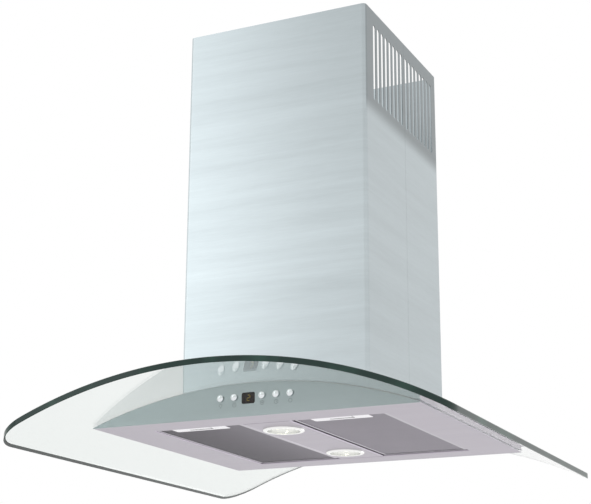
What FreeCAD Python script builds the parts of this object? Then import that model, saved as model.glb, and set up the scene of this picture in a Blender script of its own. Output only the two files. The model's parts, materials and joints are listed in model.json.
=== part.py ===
"""Curved glass range hood for hanging over an island.

Frame, in millimetres: the origin is the centre of the hanger ring's top face, +X is to the
right, +Y to the back and +Z up. The control panel faces -Y. Each function makes one named
sub-part, and the table at the end writes each to its own file.
"""
import FreeCAD, Part
import math
import os

os.makedirs("parts", exist_ok=True)

# ---- for cutting and picking
over = 1.0                      # cutters reach this far past what they cut
pick_gap = 0.01                 # when edges are picked by their place

# ---- overall
underside_drop = 562.0          # hanger face down to the underside
chimney_rise = 190.0            # chimney top above the hanger face
body_width = 600.0
body_depth = 544.0
corner_height = 1.3             # of the body's side edges

# ---- canopy body
panel_sheet = 1.2
deck_sheet = 1.0
lip_sheet = 1.0
lip_width = 28.0                # folded-over lip on each side edge
flange_width = 14.0             # return flanges of the front and rear panels
flange_side_stop = 10.0         # flanges end short of the pointed corners
deck_side_stop = 15.0
lap_gap = 0.1                   # between sheets that lie one under the other

# ---- filter opening in the underside
opening_side_margin = 83.0      # from the body's sides
opening_front_margin = 67.0
opening_back_margin = 59.0
rim_height = 18.0
rim_bend = 1.8

# ---- lamp strip between the filters
strip_half_x = 44.5
strip_front_gap = 0.3
strip_back_gap = 4.0
strip_tab_half_x = 20.0
strip_tab_reach = 3.0

# ---- lamps
lamp_front_place = 68.5         # from the front of the opening
lamp_back_place = 83.0          # from its back
lamp_hole_r = 33.5
lamp_ring_r = 36.5
lamp_ring_drop = 4.0
lamp_ring_round = 2.4
lamp_window_r = 28.5
lamp_neck_wall = 2.0
lamp_neck_gap = 0.3
lamp_neck_height = 13.0
lamp_clip_reach = 3.5
lamp_clip_half_width = 4.0
lamp_clip_sheet = 1.0
lens_thick = 2.0
lens_lip = 2.5                  # ring's lip under the lens
reflector_wall = 0.8
reflector_height = 23.0
reflector_neck_r = 8.0
reflector_bulge_r_share = 0.86   # of the mouth's radius, partway up
reflector_bulge_rise_share = 0.42
bulb_r = 5.0
bulb_length = 13.0
bulb_tip_round = 4.5
bulb_base_height = 12.0

# ---- grease filters
filter_side_gap = 0.8
filter_inner_gap = 4.0
filter_front_gap = 0.8
filter_back_gap = 6.0
filter_recess = 1.5
filter_thick = 9.0
filter_border = 6.0
filter_corner = 3.0
filter_edge_round = 2.0
mesh_recess = 0.7
mesh_sheet = 1.0
mesh_rib_width = 8.0
mesh_rib_height = 2.5
mesh_rib_count = 3
peg_r = 2.0
peg_from_back = 4.0
peg_rise = 4.5                  # peg axis above the filter's lower face
peg_reach = 2.0                 # peg past the wall that it turns in
running_clearance = 0.05

# ---- filter latches
latch_width = 104.0
latch_depth = 26.2
latch_proud = 0.6               # below the filter's lower face
latch_corner = 4.0
latch_front_inset = 0.4
latch_pocket_half_x = 22.3
latch_pocket_roof = 1.3         # filter left above the pocket
latch_wall = 1.2
slider_side_gap = 0.5
slider_depth = 10.5
slider_front_gap = 1.0
slider_proud = 0.5
slider_roof_gap = 0.5
slider_round = 0.8
latch_travel = 6.0
tongue_half_x = 10.0
tongue_thick = 1.5
tongue_gap = 0.4                # tongue to the rim at rest
spring_leaf = 0.4
spring_height = 3.0
spring_half_x = 18.0
spring_end_gap = 0.2
spring_rise = 3.0               # above the filter's lower face
spring_room = 10.0              # free length behind the slider

# ---- control panel
button_pitch = 25.6
button_places = (-2, -1, 1, 2, 3)
button_above_window = 2.5       # between their middles
button_r = 5.6
button_hole_gap = 0.4
button_proud = 4.5
button_dome = 1.6
dome_overlap = 0.2              # of the dome and the cap under it
button_flange_r = 7.4
button_flange = 1.0
button_rest_gap = 0.3
stem_r = 2.5
stem_clearance = 0.08
tip_r = 1.6
window_width = 24.0
window_height = 18.6
window_rise = 30.5              # above the underside
window_corner = 3.0
window_gap = 0.2
window_proud = 0.4
window_thick = 2.4
module_inset = 1.0
housing_end = 12.8              # past the outermost buttons
housing_bottom = 14.0
housing_above_window = 5.2
crown_room = 10.5               # housing's top to the crown of the body
housing_plate_y = 8.0           # front of the housing's plate behind the panel's back
housing_wall = 2.0
switch_size = 6.0
switch_height = 4.3
switch_gap = 2.0                # housing's plate to the switches
switch_hole_gap = 0.4
switch_hole_depth = 3.2
tip_rest_depth = 0.6            # button's tip in its switch at rest
board_thick = 1.6

# ---- glass
glass_thick = 9.5
seal_thick = 1.0
glass_side_overhang = 97.0      # past the body
glass_end_overhang = 160.0
glass_corner = 58.0
glass_hole_round = 6.0
seal_width = 9.0
seal_inset = 0.6
seal_relief = 0.35              # between the strips and the glass

# ---- blower housing, on a curved saddle over the glass
box_room_x = 90.0               # past the scroll, for the air on its way in
box_room_y = 45.0
box_drop = 190.0                # hanger face down to the top of the box
box_sheet = 1.2
box_flange = 14.0
saddle_margin = 18.5            # past the box
saddle_sheet = 2.0
throat_inset = 14.0             # inside the box
throat_sheet = 1.2
throat_below_deck = 6.0
throat_gap = 2.0                # throat to the deck and the glass
washer_r = 10.0
washer_thick = 1.5
washer_relief = 0.3             # of the rubber over and under
bolt_r = 3.0
bolt_hole_gap = 0.4
bolt_head_r = 5.5
bolt_head = 4.0
nut_r = 5.8
nut_thick = 5.0
nut_seat_gap = 0.05             # flat nut on the deck's curve
bolt_tail = 3.0
nut_thread_gap = 0.1
bolt_x = 100.0
bolt_beyond_box = 7.0

# ---- fan
fan_drop = 155.0                # below the top of the box
outlet_y = 12.0
wheel_r = 64.0
wheel_inner_r = 54.0
wheel_side_gap = 8.0            # to the sides of the scroll
wheel_ring = 2.5
wheel_ring_width = 4.0
wheel_disc = 2.0
blade_count = 30
blade_sheet = 0.9
blade_lean_deg = 22.0
blade_bow_share = 0.3           # of the lean, at half the blade's reach
blade_tip_inset = 0.2
hub_r = 12.0
hub_length = 24.0
shaft_r = 4.0
shaft_past_hub = 3.0
shaft_end_gap = 4.0             # shaft's end to the motor's end
shaft_bore_extra = 1.0
scroll_start_r = 70.0
scroll_end_r = 110.0
scroll_tongue_deg = 65.0
scroll_wall = 2.0
scroll_half_x = 60.0
outlet_width = 80.0
inlet_r = 50.0
inlet_sheet = 1.4
inlet_flange = 12.0
inlet_lip = 5.0
motor_r = 38.0
motor_length = 58.0
motor_past_scroll = 12.0
motor_edge = 4.0
bracket_sheet = 2.0
bracket_arm = 10.0
bracket_arms = 3
bracket_foot_gap = 3.0          # feet outside the inlet ring
bracket_foot = 10.0

# ---- duct collar and its flaps
collar_r = 75.0
collar_sheet = 1.5
collar_foot = 14.0
collar_taper = 35.0
collar_height = 55.0
flap_pin_r = 1.5
flap_pin_offset = 3.4
flap_rise = 14.0                # flap pins above the foot of the round part
flap_sheet = 1.0
flap_rim_gap = 1.2
flap_sleeve_r = 2.4
flap_sleeve_stop = 4.0
flap_stop_width = 2.5
flap_keep = 2.0
flap_stop_gap = 0.3
flap_stop_height = 1.2
pin_end_inset = 0.3

# ---- hanger frame
ring_gap = 3.0                  # to the inside of the chimney
ring_sheet = 3.0
ring_width = 50.5
ring_skirt = 15.0
ring_skirt_sheet = 2.0
ring_opening_round = 8.0
hanger_hole_r = 4.5
hanger_half_x = 150.0
hanger_half_y = 90.0
angle_leg = 26.0
angle_sheet = 2.0
angle_foot_gap = 8.0            # angle's lower end above the saddle
screw_r = 2.5
screw_hole_gap = 0.3
screw_head_r = 4.5
screw_head = 3.0
screw_from_top = 40.0
screw_from_foot = 40.0
screw_tail = 2.0

# ---- terminal box
terminal_half_x = 55.0
terminal_depth = 24.0
terminal_height = 70.0
terminal_drop = 300.0
terminal_round = 4.0
gland_r = 8.0
gland_height = 9.0
gland_bore_r = 4.5

# ---- chimney
chimney_room = 28.5             # box to the outside of the chimney
chimney_sheet = 1.0
chimney_bend = 7.0
chimney_foot_gap = 0.4
seam_y = 6.0
seam_gap = 0.3
seam_lap = 7.0
seam_joggle = 2.7
lap_side_gap = 0.3
slot_width = 10.0
slot_end_round = 4.9
slot_bottom = 17.0
slot_top = 162.5
slots_per_half = 8
slot_front_corner = 41.4        # end slots to the corners and to the seam
slot_front_seam = 14.05
slot_rear_seam = 10.5
slot_rear_corner = 32.95
clip_half_y = 12.0
clip_from_corner = 41.5
clip_sheet = 2.0
clip_leg = 16.0
clip_lip = 15.0

# ---- sizes that follow from the ones above
underside_z = -underside_drop
body_half_x = body_width / 2
body_half_y = body_depth / 2
panel_back_y = -body_half_y + panel_sheet
opening_half_x = body_half_x - opening_side_margin
opening_front_y = -body_half_y + opening_front_margin
opening_back_y = body_half_y - opening_back_margin
lamp_front_y = opening_front_y + lamp_front_place
lamp_back_y = opening_back_y - lamp_back_place

housing_left = button_places[0] * button_pitch - housing_end
housing_right = button_places[-1] * button_pitch + housing_end
housing_top = window_rise + window_height / 2 + housing_above_window
button_z = underside_z + window_rise + button_above_window

arch_crown = housing_top + crown_room
arch_rise = arch_crown - corner_height
arch_radius = (arch_rise ** 2 + body_half_x ** 2) / (2 * arch_rise)
arch_axis_z = underside_z + arch_crown - arch_radius
deck_r = arch_radius - max(panel_sheet, lip_sheet) - lap_gap
glass_r = arch_radius + seal_thick
glass_top_r = glass_r + glass_thick
saddle_r = glass_top_r + washer_thick
saddle_top_r = saddle_r + saddle_sheet

wheel_half_width = scroll_half_x - wheel_side_gap
motor_end_x = scroll_half_x + motor_past_scroll
motor_start_x = motor_end_x - motor_length
box_half_x = scroll_half_x + box_room_x
box_half_y = scroll_end_r + box_room_y
box_top_z = -box_drop
saddle_half_x = box_half_x + saddle_margin
saddle_half_y = box_half_y + saddle_margin
throat_half_x = box_half_x - throat_inset
throat_half_y = box_half_y - throat_inset
bolt_y = box_half_y + bolt_beyond_box
bolt_turn_deg = math.degrees(math.asin(bolt_x / saddle_r))
fan_y = outlet_y + outlet_width / 2 - scroll_end_r
fan_z = box_top_z - fan_drop

filter_bottom_z = underside_z + filter_recess
filter_top_z = filter_bottom_z + filter_thick
filter_inner_x = strip_half_x + filter_inner_gap
filter_outer_x = opening_half_x - filter_side_gap
filter_mid_x = (filter_inner_x + filter_outer_x) / 2
filter_front_y = opening_front_y + filter_front_gap
filter_back_y = opening_back_y - filter_back_gap
peg_y = filter_back_y - peg_from_back
peg_z = filter_bottom_z + peg_rise
latch_back_y = filter_front_y + latch_depth
pocket_back_y = filter_front_y + slider_front_gap + slider_depth + spring_room
pocket_top_z = filter_top_z - latch_pocket_roof
slider_back_y = pocket_back_y - spring_room

collar_z = box_top_z + collar_sheet + collar_taper
flap_z = collar_z + flap_rise
chimney_half_x = box_half_x + chimney_room
chimney_half_y = box_half_y + chimney_room
inside_x = chimney_half_x - chimney_sheet
ring_half_x = inside_x - ring_gap
ring_half_y = chimney_half_y - chimney_sheet - ring_gap
clip_y = chimney_half_y - clip_from_corner

LEFT, RIGHT = -1, 1
AXIS_X = FreeCAD.Vector(1, 0, 0)
AXIS_Y = FreeCAD.Vector(0, 1, 0)
AXIS_Z = FreeCAD.Vector(0, 0, 1)


# ---- shared shapes
def vec(x, y, z):
    return FreeCAD.Vector(x, y, z)


def block(x0, x1, y0, y1, z0, z1):
    """Block between two opposite corners, given in any order."""
    low = vec(min(x0, x1), min(y0, y1), min(z0, z1))
    return Part.makeBox(abs(x1 - x0), abs(y1 - y0), abs(z1 - z0), low)


def rod(radius, start, axis, length):
    return Part.makeCylinder(radius, length, start, axis)


def tube(outer, inner, start, axis, length):
    return rod(outer, start, axis, length).cut(rod(inner, start, axis, length))


def edges_along(shape, axis):
    """Straight edges of a shape that run along an axis."""
    found = []
    for edge in shape.Edges:
        if edge.Curve.TypeId == "Part::GeomLine":
            if abs(edge.tangentAt(edge.FirstParameter).dot(axis)) > 0.999:
                found.append(edge)
    return found


def rounded_block(x0, x1, y0, y1, z0, z1, radius, axis=AXIS_Z):
    """Block whose four edges along an axis are rounded."""
    shape = block(x0, x1, y0, y1, z0, z1)
    return shape.makeFillet(radius, edges_along(shape, axis))


def fuse(shapes):
    joined = shapes[0].multiFuse(shapes[1:]) if len(shapes) > 1 else shapes[0]
    return joined.removeSplitter()


def both_sides(shape):
    """A shape and its mirror image in the middle plane x = 0."""
    return [shape, shape.mirror(vec(0, 0, 0), AXIS_X)]


def arch_z(radius, x):
    """Height of an arc about the arch's axis at a distance x from the middle."""
    return arch_axis_z + math.sqrt(radius ** 2 - x ** 2)


def vault(inner, outer, x0, x1, y0, y1):
    """Curved sheet between two radii of the arch, cut off upright at x0 and x1."""
    middle = (x0 + x1) / 2
    edges = []
    for radius in (inner, outer):
        ends = [vec(x, y0, arch_z(radius, x)) for x in (x0, middle, x1)]
        edges.append(Part.Arc(*ends).toShape())
    for x in (x0, x1):
        edges.append(Part.makeLine(vec(x, y0, arch_z(inner, x)), vec(x, y0, arch_z(outer, x))))
    face = Part.Face(Part.Wire(Part.__sortEdges__(edges)))
    return face.extrude(vec(0, y1 - y0, 0))


def under_arch(radius):
    """Everything nearer the arch's axis than a radius, over the whole depth of the hood."""
    reach = body_depth + 2 * glass_end_overhang
    return rod(radius, vec(0, -reach, arch_axis_z), AXIS_Y, 2 * reach)


def around_arch(shape, angle_deg):
    """A shape made at the crown, turned about the arch's axis."""
    turned = shape.copy()
    turned.rotate(vec(0, 0, arch_axis_z), AXIS_Y, angle_deg)
    return turned


def crown_rod(radius, low_r, high_r, y):
    """Upright rod at the crown between two radii of the arch."""
    return rod(radius, vec(0, y, arch_axis_z + low_r), AXIS_Z, high_r - low_r)


def at_glass_bolts(make):
    """One copy of a piece at each of the four bolts that clamp the glass."""
    copies = []
    for y in (-bolt_y, bolt_y):
        for turn in (-bolt_turn_deg, bolt_turn_deg):
            copies.append(around_arch(make(y), turn))
    return copies


def bolt_holes(low_r, high_r):
    return at_glass_bolts(lambda y: crown_rod(bolt_r + bolt_hole_gap, low_r, high_r, y))


# ---- canopy body
def underside_panel():
    """Flat underside with the turned-up rim of the filter opening and folded side lips."""
    top = underside_z + panel_sheet
    sheet = block(-body_half_x, body_half_x, panel_back_y, -panel_back_y, underside_z, top)
    rim = block(-opening_half_x - panel_sheet, opening_half_x + panel_sheet,
                opening_front_y - panel_sheet, opening_back_y + panel_sheet,
                underside_z, underside_z + rim_height)
    lip_y = body_half_y - flange_width - panel_sheet
    lip = vault(arch_radius - lip_sheet, arch_radius, body_half_x - lip_width, body_half_x,
                -lip_y, lip_y)
    opening = block(-opening_half_x, opening_half_x, opening_front_y, opening_back_y,
                    underside_z - over, underside_z + rim_height + over)
    panel = fuse([sheet, rim] + both_sides(lip)).cut(opening)
    bends = []
    for edge in panel.Edges:
        box = edge.BoundBox
        level = abs(box.ZMin - underside_z) < 0.01 and abs(box.ZMax - underside_z) < 0.01
        inside = max(abs(box.XMin), abs(box.XMax)) < opening_half_x + pick_gap
        if level and inside and box.YMin > opening_front_y - pick_gap:
            if box.YMax < opening_back_y + pick_gap:
                bends.append(edge)
    panel = panel.makeFillet(rim_bend, bends)
    peg_hole = rod(peg_r + running_clearance, vec(opening_half_x - over, peg_y, peg_z), AXIS_X,
                   panel_sheet + 2 * over)
    return panel.cut(both_sides(peg_hole))


def end_panel():
    """Arched end wall with a return flange along its top and one along its foot."""
    front = -body_half_y
    corner_z = arch_z(arch_radius, body_half_x)
    left_foot = vec(-body_half_x, front, underside_z)
    right_foot = vec(body_half_x, front, underside_z)
    left_top = vec(-body_half_x, front, corner_z)
    right_top = vec(body_half_x, front, corner_z)
    crown = vec(0, front, underside_z + arch_crown)
    outline = Part.Wire([Part.makeLine(left_foot, right_foot),
                         Part.makeLine(right_foot, right_top),
                         Part.Arc(right_top, crown, left_top).toShape(),
                         Part.makeLine(left_top, left_foot)])
    wall = Part.Face(outline).extrude(vec(0, panel_sheet, 0))
    flange_half = body_half_x - flange_side_stop
    top_flange = vault(arch_radius - panel_sheet, arch_radius, -flange_half, flange_half,
                       front, front + flange_width)
    foot_half = body_half_x - deck_side_stop
    foot_flange = block(-foot_half, foot_half, front, front + flange_width,
                        underside_z + panel_sheet, underside_z + 2 * panel_sheet)
    return fuse([wall, top_flange, foot_flange])


def window_block(gap, y0, y1):
    half = window_width / 2 + gap
    low = underside_z + window_rise - window_height / 2 - gap
    return rounded_block(-half, half, y0, y1, low, low + window_height + 2 * gap,
                         window_corner + gap, AXIS_Y)


def button_x(place):
    return place * button_pitch


def front_panel():
    """Front wall with the holes of the push buttons and of the display."""
    panel = end_panel()
    cutters = [window_block(window_gap, -body_half_y - over, panel_back_y + over)]
    for place in button_places:
        cutters.append(rod(button_r + button_hole_gap,
                           vec(button_x(place), -body_half_y - over, button_z), AXIS_Y,
                           panel_sheet + 2 * over))
    return panel.cut(cutters)


def rear_panel():
    return end_panel().mirror(vec(0, 0, 0), AXIS_Y)


def top_deck():
    """Curved inner top of the body, with the opening that the blower's throat hangs through."""
    half = body_half_x - deck_side_stop
    deck = vault(deck_r - deck_sheet, deck_r, -half, half, panel_back_y, -panel_back_y)
    gap = throat_gap
    hole = block(-throat_half_x - gap, throat_half_x + gap, -throat_half_y - gap,
                 throat_half_y + gap, underside_z, 0)
    return deck.cut([hole] + bolt_holes(deck_r - 2 * deck_sheet, deck_r + deck_sheet))


# ---- lamp strip and lamps
def lamp_strip():
    """Channel between the two filters, hung on the rim by a tab at each end."""
    front = opening_front_y + strip_front_gap
    back = opening_back_y - strip_back_gap
    top = underside_z + rim_height
    outer = block(-strip_half_x, strip_half_x, front, back, underside_z, top)
    bends = [e for e in edges_along(outer, AXIS_Y) if e.BoundBox.ZMax < underside_z + pick_gap]
    outer = outer.makeFillet(rim_bend, bends)
    wall = panel_sheet
    inner = block(-strip_half_x + wall, strip_half_x - wall, front + wall, back - wall,
                  underside_z + wall, top + over)
    tabs = [block(-strip_tab_half_x, strip_tab_half_x, opening_front_y - strip_tab_reach,
                  front + wall, top, top + wall),
            block(-strip_tab_half_x, strip_tab_half_x, back - wall,
                  opening_back_y + strip_tab_reach, top, top + wall)]
    strip = fuse([outer.cut(inner)] + tabs)
    cutters = []
    for y in (lamp_front_y, lamp_back_y):
        cutters.append(rod(lamp_hole_r, vec(0, y, underside_z - over), AXIS_Z, panel_sheet + 2 * over))
    peg_hole = rod(peg_r + running_clearance, vec(strip_half_x - wall - over, peg_y, peg_z),
                   AXIS_X, wall + 2 * over)
    return strip.cut(cutters + both_sides(peg_hole))


def lamp_ring(y):
    """Trim ring under the strip, with a neck through it and two spring clips."""
    bottom = underside_z - lamp_ring_drop
    neck_r = lamp_hole_r - lamp_neck_gap
    flange = rod(lamp_ring_r, vec(0, y, bottom), AXIS_Z, lamp_ring_drop)
    flange = flange.makeFillet(lamp_ring_round, [
        e for e in flange.Edges
        if e.Curve.TypeId == "Part::GeomCircle" and e.BoundBox.ZMax < bottom + pick_gap])
    neck = rod(neck_r, vec(0, y, bottom + over), AXIS_Z, lamp_ring_drop - over + lamp_neck_height)
    clips = []
    clip_z = underside_z + panel_sheet
    for side in (LEFT, RIGHT):
        clips.append(block(side * (neck_r - over), side * (neck_r + lamp_clip_reach),
                           y - lamp_clip_half_width, y + lamp_clip_half_width,
                           clip_z, clip_z + lamp_clip_sheet))
    window = rod(lamp_window_r, vec(0, y, bottom - over), AXIS_Z, lamp_ring_drop)
    bore = rod(neck_r - lamp_neck_wall, vec(0, y, bottom + lens_lip), AXIS_Z,
               lamp_ring_drop + lamp_neck_height)
    return fuse([flange, neck] + clips).cut([window, bore])


def lamp_lens(y):
    radius = lamp_hole_r - lamp_neck_gap - lamp_neck_wall - running_clearance
    return rod(radius, vec(0, y, underside_z - lamp_ring_drop + lens_lip), AXIS_Z, lens_thick)


def lamp_reflector(y):
    """Spun dish: a thin shell of revolution that opens downward over the lens."""
    mouth_r = lamp_hole_r - lamp_neck_gap - lamp_neck_wall - 2 * running_clearance
    z0 = underside_z - lamp_ring_drop + lens_lip + lens_thick
    z1 = z0 + reflector_height
    wall = reflector_wall
    bulge_r = mouth_r * reflector_bulge_r_share
    bulge_z = z0 + reflector_height * reflector_bulge_rise_share
    outer = Part.Arc(vec(mouth_r, 0, z0), vec(bulge_r, 0, bulge_z), vec(reflector_neck_r, 0, z1))
    inner = Part.Arc(vec(mouth_r - wall, 0, z0), vec(bulge_r - wall, 0, bulge_z - wall),
                     vec(reflector_neck_r - wall, 0, z1 - wall))
    edges = [outer.toShape(), inner.toShape(),
             Part.makeLine(vec(mouth_r, 0, z0), vec(mouth_r - wall, 0, z0)),
             Part.makeLine(vec(reflector_neck_r, 0, z1), vec(reflector_neck_r - wall, 0, z1 - wall))]
    face = Part.Face(Part.Wire(Part.__sortEdges__(edges)))
    dish = face.revolve(vec(0, 0, 0), AXIS_Z, 360)
    dish.translate(vec(0, y, 0))
    return dish


def lamp_bulb(y):
    """Capsule lamp with its base, held in the neck of the reflector."""
    neck_z = underside_z - lamp_ring_drop + lens_lip + lens_thick + reflector_height
    capsule = rod(bulb_r, vec(0, y, neck_z - bulb_length), AXIS_Z, bulb_length)
    capsule = capsule.makeFillet(bulb_tip_round, [
        e for e in capsule.Edges
        if e.Curve.TypeId == "Part::GeomCircle" and e.BoundBox.ZMax < neck_z - bulb_length + pick_gap])
    base = rod(reflector_neck_r, vec(0, y, neck_z), AXIS_Z, bulb_base_height)
    return fuse([capsule, base])


# ---- grease filters, hinged on pegs at the back and latched at the front
def at_filter(shape, side):
    """A piece of the right filter, mirrored for the left one."""
    return shape if side == RIGHT else shape.mirror(vec(0, 0, 0), AXIS_X)


def latch_pocket():
    """Room in the front of the filter for the latch slider and its spring."""
    half = latch_pocket_half_x
    return block(filter_mid_x - half, filter_mid_x + half, filter_front_y - over, pocket_back_y,
                 filter_bottom_z - over, pocket_top_z)


def latch_seat():
    half = latch_width / 2
    return block(filter_mid_x - half, filter_mid_x + half, filter_front_y - over,
                 latch_back_y, filter_bottom_z - over, filter_bottom_z + mesh_recess)


def filter_frame(side):
    """Folded rim with rounded lower edges and the two hinge pegs."""
    outer = rounded_block(filter_inner_x, filter_outer_x, filter_front_y, filter_back_y,
                          filter_bottom_z, filter_top_z, filter_corner)
    lower = [e for e in outer.Edges if e.BoundBox.ZMax < filter_bottom_z + pick_gap]
    outer = outer.makeFillet(filter_edge_round, lower)
    b = filter_border
    window = block(filter_inner_x + b, filter_outer_x - b, filter_front_y + b,
                   filter_back_y - b, filter_bottom_z - over, filter_top_z + over)
    outer_peg = rod(peg_r, vec(filter_outer_x - over, peg_y, peg_z), AXIS_X,
                    over + filter_side_gap + panel_sheet + peg_reach)
    inner_start = strip_half_x - panel_sheet - peg_reach
    inner_peg = rod(peg_r, vec(inner_start, peg_y, peg_z), AXIS_X,
                    filter_inner_x - inner_start + over)
    frame = fuse([outer.cut(window), outer_peg, inner_peg])
    return at_filter(frame.cut([latch_pocket(), latch_seat()]), side)


def filter_mesh(side):
    """Outer mesh sheet and a ribbed inner one, both let into the rim."""
    b = filter_border
    x0, x1 = filter_inner_x + b, filter_outer_x - b
    y0, y1 = filter_front_y + b, filter_back_y - b
    low = filter_bottom_z + mesh_recess
    outer = block(x0, x1, y0, y1, low, low + mesh_sheet)
    high = filter_top_z - mesh_sheet - mesh_rib_height
    inner = [block(x0, x1, y0, y1, high, high + mesh_sheet)]
    step = (x1 - x0) / (mesh_rib_count + 1)
    for i in range(mesh_rib_count):
        middle = x0 + step * (i + 1)
        inner.append(block(middle - mesh_rib_width / 2, middle + mesh_rib_width / 2,
                           y0, y1, high, high + mesh_sheet + mesh_rib_height))
    cut = [latch_pocket_with_walls()]
    sheets = [outer.cut(cut), fuse(inner).cut(cut)]
    return at_filter(Part.makeCompound(sheets), side)


def latch_pocket_with_walls():
    half = latch_pocket_half_x + latch_wall
    return block(filter_mid_x - half, filter_mid_x + half, filter_front_y - over,
                 pocket_back_y + latch_wall, filter_bottom_z - over, filter_top_z + over)


def latch_plate(side):
    """Bright grip plate on the filter's front, with the box that guides the slider."""
    half = latch_width / 2
    low = filter_bottom_z - latch_proud
    plate = rounded_block(filter_mid_x - half, filter_mid_x + half, filter_front_y + latch_front_inset,
                          latch_back_y, low, filter_bottom_z + mesh_recess, latch_corner)
    pocket_half = latch_pocket_half_x + latch_wall
    inner_y = filter_front_y + filter_border
    guide = block(filter_mid_x - pocket_half, filter_mid_x + pocket_half, inner_y,
                  pocket_back_y + latch_wall, low, pocket_top_z)
    finger = block(filter_mid_x - latch_pocket_half_x, filter_mid_x + latch_pocket_half_x,
                   filter_front_y - over, slider_back_y + latch_travel + slider_side_gap,
                   low - over, filter_bottom_z + mesh_recess + over)
    above_plate = block(0, body_half_x, -body_half_y, 0, filter_bottom_z + mesh_recess, 0)
    room = latch_pocket().common(above_plate)
    return at_filter(fuse([plate, guide]).cut([finger, room]), side)


def latch_slider(side):
    """Grip that is pulled back to free the filter, with the tongue that meets the rim."""
    half = latch_pocket_half_x - slider_side_gap
    front = filter_front_y + slider_front_gap
    top = pocket_top_z - slider_roof_gap
    grip = block(filter_mid_x - half, filter_mid_x + half, front, slider_back_y,
                 filter_bottom_z - latch_proud - slider_proud, top)
    grip = grip.makeFillet(slider_round, edges_along(grip, AXIS_X)[:1] + edges_along(grip, AXIS_Z))
    tongue = block(filter_mid_x - tongue_half_x, filter_mid_x + tongue_half_x,
                   opening_front_y + tongue_gap, front + 2 * over, top - tongue_thick, top)
    return at_filter(fuse([grip, tongue]), side)


def latch_spring(side):
    """Bowed leaf between the slider and the back of its pocket."""
    y_end = pocket_back_y - spring_end_gap
    y_mid = slider_back_y + spring_end_gap
    low = filter_bottom_z + spring_rise
    h = spring_half_x
    t = spring_leaf
    rear = Part.Arc(vec(filter_mid_x - h, y_end, low), vec(filter_mid_x, y_mid + t, low),
                    vec(filter_mid_x + h, y_end, low)).toShape()
    front = Part.Arc(vec(filter_mid_x - h - t, y_end, low), vec(filter_mid_x, y_mid, low),
                     vec(filter_mid_x + h + t, y_end, low)).toShape()
    ends = [Part.makeLine(vec(filter_mid_x + s * h, y_end, low),
                          vec(filter_mid_x + s * (h + t), y_end, low)) for s in (LEFT, RIGHT)]
    face = Part.Face(Part.Wire(Part.__sortEdges__([rear, front] + ends)))
    return at_filter(face.extrude(vec(0, 0, spring_height)), side)


# ---- controls behind the front panel
def push_button(place):
    """Domed cap with a keeper flange behind the panel and a guided stem."""
    x = button_x(place)
    face_y = -body_half_y - button_proud
    flange_y = panel_back_y + button_rest_gap
    cap = rod(button_r, vec(x, face_y + button_dome, button_z), AXIS_Y,
              flange_y - face_y - button_dome + button_flange)
    ball_r = (button_r ** 2 + button_dome ** 2) / (2 * button_dome)
    ball = Part.makeSphere(ball_r, vec(x, face_y + ball_r, button_z))
    dome = ball.common(rod(button_r, vec(x, face_y - over, button_z), AXIS_Y,
                           button_dome + over + dome_overlap))
    flange = rod(button_flange_r, vec(x, flange_y, button_z), AXIS_Y, button_flange)
    plate_y = panel_back_y + housing_plate_y
    stem_end = plate_y + housing_wall
    stem = rod(stem_r, vec(x, flange_y, button_z), AXIS_Y, stem_end - flange_y)
    tip_end = stem_end + switch_gap + tip_rest_depth
    tip = rod(tip_r, vec(x, flange_y, button_z), AXIS_Y, tip_end - flange_y)
    return fuse([cap, dome, flange, stem, tip])


def display_window():
    front = -body_half_y - window_proud
    return window_block(0.0, front, front + window_thick)


def display_module():
    """Two-digit indicator block between the window and the housing's plate."""
    y0 = -body_half_y - window_proud + window_thick
    y1 = panel_back_y + housing_plate_y
    half = window_width / 2 - module_inset
    low = underside_z + window_rise - window_height / 2 + module_inset
    high = low + window_height - 2 * module_inset
    return block(-half, half, y0, y1, low, high)


def control_housing():
    """Open tray that meets the panel's back, with a guide hole for each button's stem."""
    z0 = underside_z + housing_bottom
    z1 = underside_z + housing_top
    plate_y = panel_back_y + housing_plate_y
    back_y = plate_y + housing_wall + switch_gap + switch_height + board_thick
    w = housing_wall
    outer = block(housing_left, housing_right, panel_back_y, back_y, z0, z1)
    front_room = block(housing_left + w, housing_right - w, panel_back_y - over, plate_y,
                       z0 + w, z1 - w)
    back_room = block(housing_left + w, housing_right - w, plate_y + w, back_y + over,
                      z0 + w, z1 - w)
    tray = outer.cut([front_room, back_room])
    holes = [rod(stem_r + stem_clearance, vec(button_x(p), plate_y - over, button_z), AXIS_Y,
                 w + 2 * over)
             for p in button_places]
    return tray.cut(holes)


def switches():
    """One tact switch behind each button, open in front for the button's tip."""
    y0 = panel_back_y + housing_plate_y + housing_wall + switch_gap
    half = switch_size / 2
    group = []
    for place in button_places:
        x = button_x(place)
        body = block(x - half, x + half, y0, y0 + switch_height, button_z - half,
                     button_z + half)
        hole = rod(tip_r + switch_hole_gap, vec(x, y0 - over, button_z), AXIS_Y,
                   1 + switch_hole_depth)
        group.append(body.cut(hole))
    return Part.makeCompound(group)


def control_board():
    y0 = panel_back_y + housing_plate_y + housing_wall + switch_gap + switch_height
    margin = housing_wall
    return block(housing_left + margin, housing_right - margin, y0, y0 + board_thick,
                 underside_z + housing_bottom + margin, underside_z + housing_top - margin)


# ---- glass and what clamps it
def glass_canopy():
    """Curved sheet with rounded corners and the opening round the blower's throat."""
    half_x = body_half_x + glass_side_overhang
    half_y = body_half_y + glass_end_overhang
    sheet = vault(glass_r, glass_top_r, -half_x - over, half_x + over, -half_y - over, half_y + over)
    low = arch_z(glass_r, half_x + over)
    plan = rounded_block(-half_x, half_x, -half_y, half_y, low, arch_z(glass_top_r, 0) + over,
                         glass_corner)
    gap = throat_gap
    hole = rounded_block(-throat_half_x - gap, throat_half_x + gap, -throat_half_y - gap,
                         throat_half_y + gap, low, 0, glass_hole_round)
    holes = bolt_holes(glass_r - over, glass_top_r + over)
    return sheet.common(plan).cut([hole] + holes)


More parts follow.
